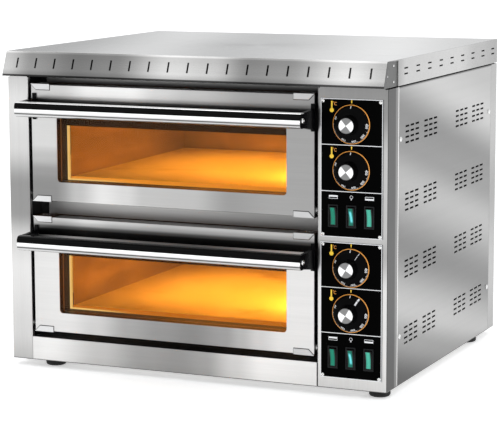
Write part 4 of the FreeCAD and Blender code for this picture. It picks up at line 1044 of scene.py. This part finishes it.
def print_dial(deck, heat, plate_y, white, orange):
    """Numbers, degree ticks, the coloured edge of a dial and, on the lower deck, a painted highlight stripe;
    they turn with the knob.
    """
    name = f"{deck}_{heat}"
    body = name + "_knob"
    centre = middle_of(body)
    centre.y = plate_y
    bm = bmesh.new()
    lift = skirt_height(NUMBER_RADIUS)
    for angle, text in NUMBERS:
        mesh = number_mesh(text, NUMBER_TALL)
        mesh.transform(Matrix.Translation(centre) @ on_dial(angle, NUMBER_RADIUS, lift, NUMBER_LEAN))
        bm.from_mesh(mesh)
        bpy.data.meshes.remove(mesh)
    for step in range(TICKS):
        inner, width = (24.2, 0.3) if step % 5 else (23.7, 0.5)
        add_tick(bm, centre, FIRST_TICK + TICK_STEP * step, inner * MM, 24.9 * MM, width * MM)
    add_tick(bm, centre, 0, 21.2 * MM, 24.4 * MM, 0.9 * MM)
    # On the lower deck a white radial stripe is a painted highlight on the skirt: thick on the bottom-heat
    # knob, thin on the top-heat one.
    if deck == "lower":
        width = (2.4 if heat == "bottom_heat" else 0.7) * MM
        add_tick(bm, centre, GLINT_ANGLE, 20.9 * MM, 24.2 * MM, width)
        add_mark(bm, centre, GLINT_ANGLE, in_mm((14.4, 6.36), (20.2, 5.3)), width)
    piece(name + "_dial_numbers", bm, body, white, smooth=0)
    bm = bmesh.new()
    turn_loop(bm, DIAL_EDGE, centre, 96)
    piece(name + "_dial_edge", bm, body, orange)


def skirt_height(radius):
    """Distance in front of the plate of the skirt's cone at a radius."""
    (outer, low), (inner, high) = KNOB_PROFILE[4:6]
    return high + (low - high) * (radius - inner) / (outer - inner)


def add_mark(bm, centre, angle, reach, width):
    """A printed radial line between two (radius, distance in front of the plate) ends."""
    turn = Matrix.Rotation(math.radians(-angle), 4, "Y")
    (inner, near), (outer, far) = reach
    half = width / 2
    corners = ((-half, -near, inner), (half, -near, inner), (half, -far, outer), (-half, -far, outer))
    prism(bm, [centre + (turn @ Vector(corner)) for corner in corners], INK)


def add_tick(bm, centre, angle, inner, outer, width):
    """A radial line that lies on the skirt's cone."""
    ends = (inner, skirt_height(inner)), (outer, skirt_height(outer))
    add_mark(bm, centre, angle, ends, width)


def spun_cap(name):
    """Turned aluminium: circular tool marks, with the light they catch painted into the colour as two
    opposite wedges.
    """
    shader = Shader(name)
    centre = middle_of(name)
    x = shader.minus(shader.axis("X"), centre.x)
    z = shader.minus(shader.axis("Z"), centre.z)
    angle = shader.maths("ARCTAN2", z, x)
    # The painted highlight wedges lean differently on the two decks.
    lean = math.radians(-4 if name.startswith("upper") else 14)
    wedge = shader.maths("COSINE", shader.times(shader.minus(angle, lean), 2.0))
    share = shader.maths("MULTIPLY_ADD", wedge, 2.5, 0.5, clamp=True)
    radius = shader.maths("SQRT", shader.maths("ADD", shader.times(x, x), shader.times(z, z)))
    marks = shader.maths("SINE", shader.times(radius, 2 * math.pi / (0.35 * MM)))
    colour = shader.mix(share, (0.22, 0.22, 0.22), (0.98, 0.98, 0.98))
    shader.principled(Base_Color=colour, Metallic=1.0, Roughness=0.3)
    shader.bump(shader.spread(marks, 0.0, 1.0), 0.01 * MM, 0.2 * MM)
    return shader.material


def make_controls():
    white = printed_ink("white_ink", (0.82, 0.83, 0.85))
    yellow = printed_ink("yellow_ink", (0.95, 0.62, 0.03))
    orange = printed_ink("orange_ink", (0.80, 0.33, 0.05))
    dial_black = moulded("dial_plastic", (0.002, 0.002, 0.0022), 0.3, shine=0.03)
    plate_black = moulded("plate_black", (0.001, 0.001, 0.001), 0.3, 0.004 * MM, shine=0.01)
    for deck in DECKS:
        node_material(plate_black, deck + "_control_plate")
        plate_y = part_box(deck + "_control_plate")[0].y
        print_plate(deck, white, yellow, orange)
        for heat in HEATS:
            name = f"{deck}_{heat}_knob"
            centre = middle_of(name)
            centre.y = plate_y
            bm = bmesh.new()
            turn_loop(bm, KNOB_PROFILE, centre, FLUTES * FLUTE_SIDES, FLUTE_DEEP)
            piece(name + "_dial", bm, name, dial_black, replaces=(name,), smooth=50)
            print_dial(deck, heat, plate_y, white, orange)
            node_material(spun_cap(name + "_cap"), name + "_cap")
    make_switches()


ROCKER_TILT = 8
# Colour and glow of each rocker's lens, and whether it carries a painted highlight streak.
ROCKER_LOOKS = {"top_heat": ((0.008, 0.22, 0.14), 0.10, False), "lamp": ((0.004, 0.13, 0.09), 0.35, True),
                "bottom_heat": ((0.06, 0.40, 0.29), 0.18, False)}


def make_switches():
    """Black snap-in frames around coloured rockers."""
    node_material(moulded("switch_black", (0.012, 0.013, 0.014), 0.42, shine=0.12), "switch_housings")
    for name, (colour, glow, streak) in ROCKER_LOOKS.items():
        for deck in DECKS:
            node = f"{deck}_{name}_rocker"
            look = lit_plastic(node + "_green", middle_of(node), colour, glow, streak)
            centre = middle_of(node)
            centre.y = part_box(deck + "_control_plate")[0].y
            bm = bmesh.new()
            add_rocker(bm, centre)
            piece(node + "_cover", bm, node, look, replaces=(node,), smooth=50)


def add_rocker(bm, centre):
    """A rocker cover: two curved paddles that meet in a shallow valley, with softened edges."""
    half = 5 * MM
    end = 12.6 * MM
    steps = 14
    rows = []
    for step in range(steps + 1):
        share = -1 + 2 * step / steps
        z = end * share
        face = (1.3 + 1.8 * abs(share) ** 1.6) * MM
        if step in (0, steps):
            face -= 0.35 * MM
        rows.append((z, face))
    tilt = Matrix.Translation(centre) @ Matrix.Rotation(math.radians(ROCKER_TILT), 4, "X")
    columns = ((-half, 0.45), (-half + 0.5 * MM, 0.0), (half - 0.5 * MM, 0.0), (half, 0.45))
    grid = [[bm.verts.new(tilt @ Vector((x, -face + drop * MM, z))) for x, drop in columns]
            for z, face in rows]
    back = [[bm.verts.new(tilt @ Vector((x, 2.4 * MM, z * 0.98))) for x, _ in columns]
            for z, _ in rows]
    join_rings(bm, [front + rear[::-1] for front, rear in zip(grid, back)])
    for front, rear in ((grid[0], back[0]), (grid[-1], back[-1])):
        for column in range(len(columns) - 1):
            bm.faces.new((front[column], front[column + 1], rear[column + 1], rear[column]))


# ---------------- studio
CAMERA_PLACE = Vector((1.1949, -2.7323, 0.6549))
CAMERA_YAW = -23.784
CAMERA_PITCH = 8.621
CAMERA_ROLL = 0.2
CAMERA_LENS = 148.35


def add_camera():
    data = bpy.data.cameras.new("camera")
    data.lens = CAMERA_LENS
    data.sensor_width = 36
    data.clip_end = 100
    item = add_object("camera", data)
    item.location = CAMERA_PLACE
    aim = Matrix.Identity(3)
    for angle, about in ((-CAMERA_YAW, "Z"), (90 - CAMERA_PITCH, "X"), (-CAMERA_ROLL, "Z")):
        aim = aim @ Matrix.Rotation(math.radians(angle), 3, about)
    item.rotation_euler = aim.to_euler()
    bpy.context.scene.camera = item


def add_area(name, place, aim, size, energy, colour=(1, 1, 1)):
    data = bpy.data.lights.new(name, "AREA")
    data.shape = "RECTANGLE"
    data.size, data.size_y = size
    data.energy = energy
    data.color = colour
    item = add_object(name, data)
    item.location = place
    direction = Vector(aim) - Vector(place)
    item.rotation_euler = direction.to_track_quat("-Z", "Y").to_euler()


FLOOR_REACH = 30.0


def add_studio():
    """White paper floor, a white room and three soft lamps."""
    corners = [(x * FLOOR_REACH, y * FLOOR_REACH, 0) for x, y in ((-1, -1), (1, -1), (1, 1), (-1, 1))]
    mesh = bpy.data.meshes.new("floor")
    mesh.from_pydata(corners, [], [(0, 1, 2, 3)])
    shader = Shader("floor_paper")
    cloud = shader.noise(0.4, 2.0)
    paper = shader.worn((0.92, 0.92, 0.92), cloud, 0.99)
    shader.principled(Base_Color=paper, Roughness=0.95, Specular_IOR_Level=0.1, Emission_Color=(1, 1, 1),
                      Emission_Strength=0.42)
    mesh.materials.append(shader.material)
    floor = add_object("floor", mesh)
    world = bpy.data.worlds.new("studio")
    bpy.context.scene.world = world
    world.use_nodes = True
    nodes = world.node_tree.nodes
    background = nodes["Background"]
    backdrop = nodes.new("ShaderNodeBackground")
    seen = nodes.new("ShaderNodeLightPath")
    blend = nodes.new("ShaderNodeMixShader")
    for item, colour, strength in ((background, (0.98, 0.99, 1.0, 1), 0.95),
                                   (backdrop, (1, 1, 1, 1), 1.1)):
        item.inputs["Color"].default_value = colour
        item.inputs["Strength"].default_value = strength
    links = world.node_tree.links
    links.new(seen.outputs["Is Camera Ray"], blend.inputs[0])
    links.new(background.outputs[0], blend.inputs[1])
    links.new(backdrop.outputs[0], blend.inputs[2])
    links.new(blend.outputs[0], nodes["World Output"].inputs["Surface"])
    add_area("key", (-1.6, -2.6, 2.4), (0, 0, 0.25), (1.6, 1.2), 5)
    add_area("top", (0.0, 0.3, 2.6), (0, 0, 0.2), (2.4, 1.6), 8)
    add_area("side", (3.0, 0.4, 1.2), (0, 0, 0.25), (1.4, 1.6), 4)
    bpy.context.scene.view_settings.view_transform = "Standard"


dress_casing()
make_fasteners()
make_feet()
make_gland()
dress_chambers()
light_chambers()
dress_doors()
make_controls()
add_camera()
add_studio()
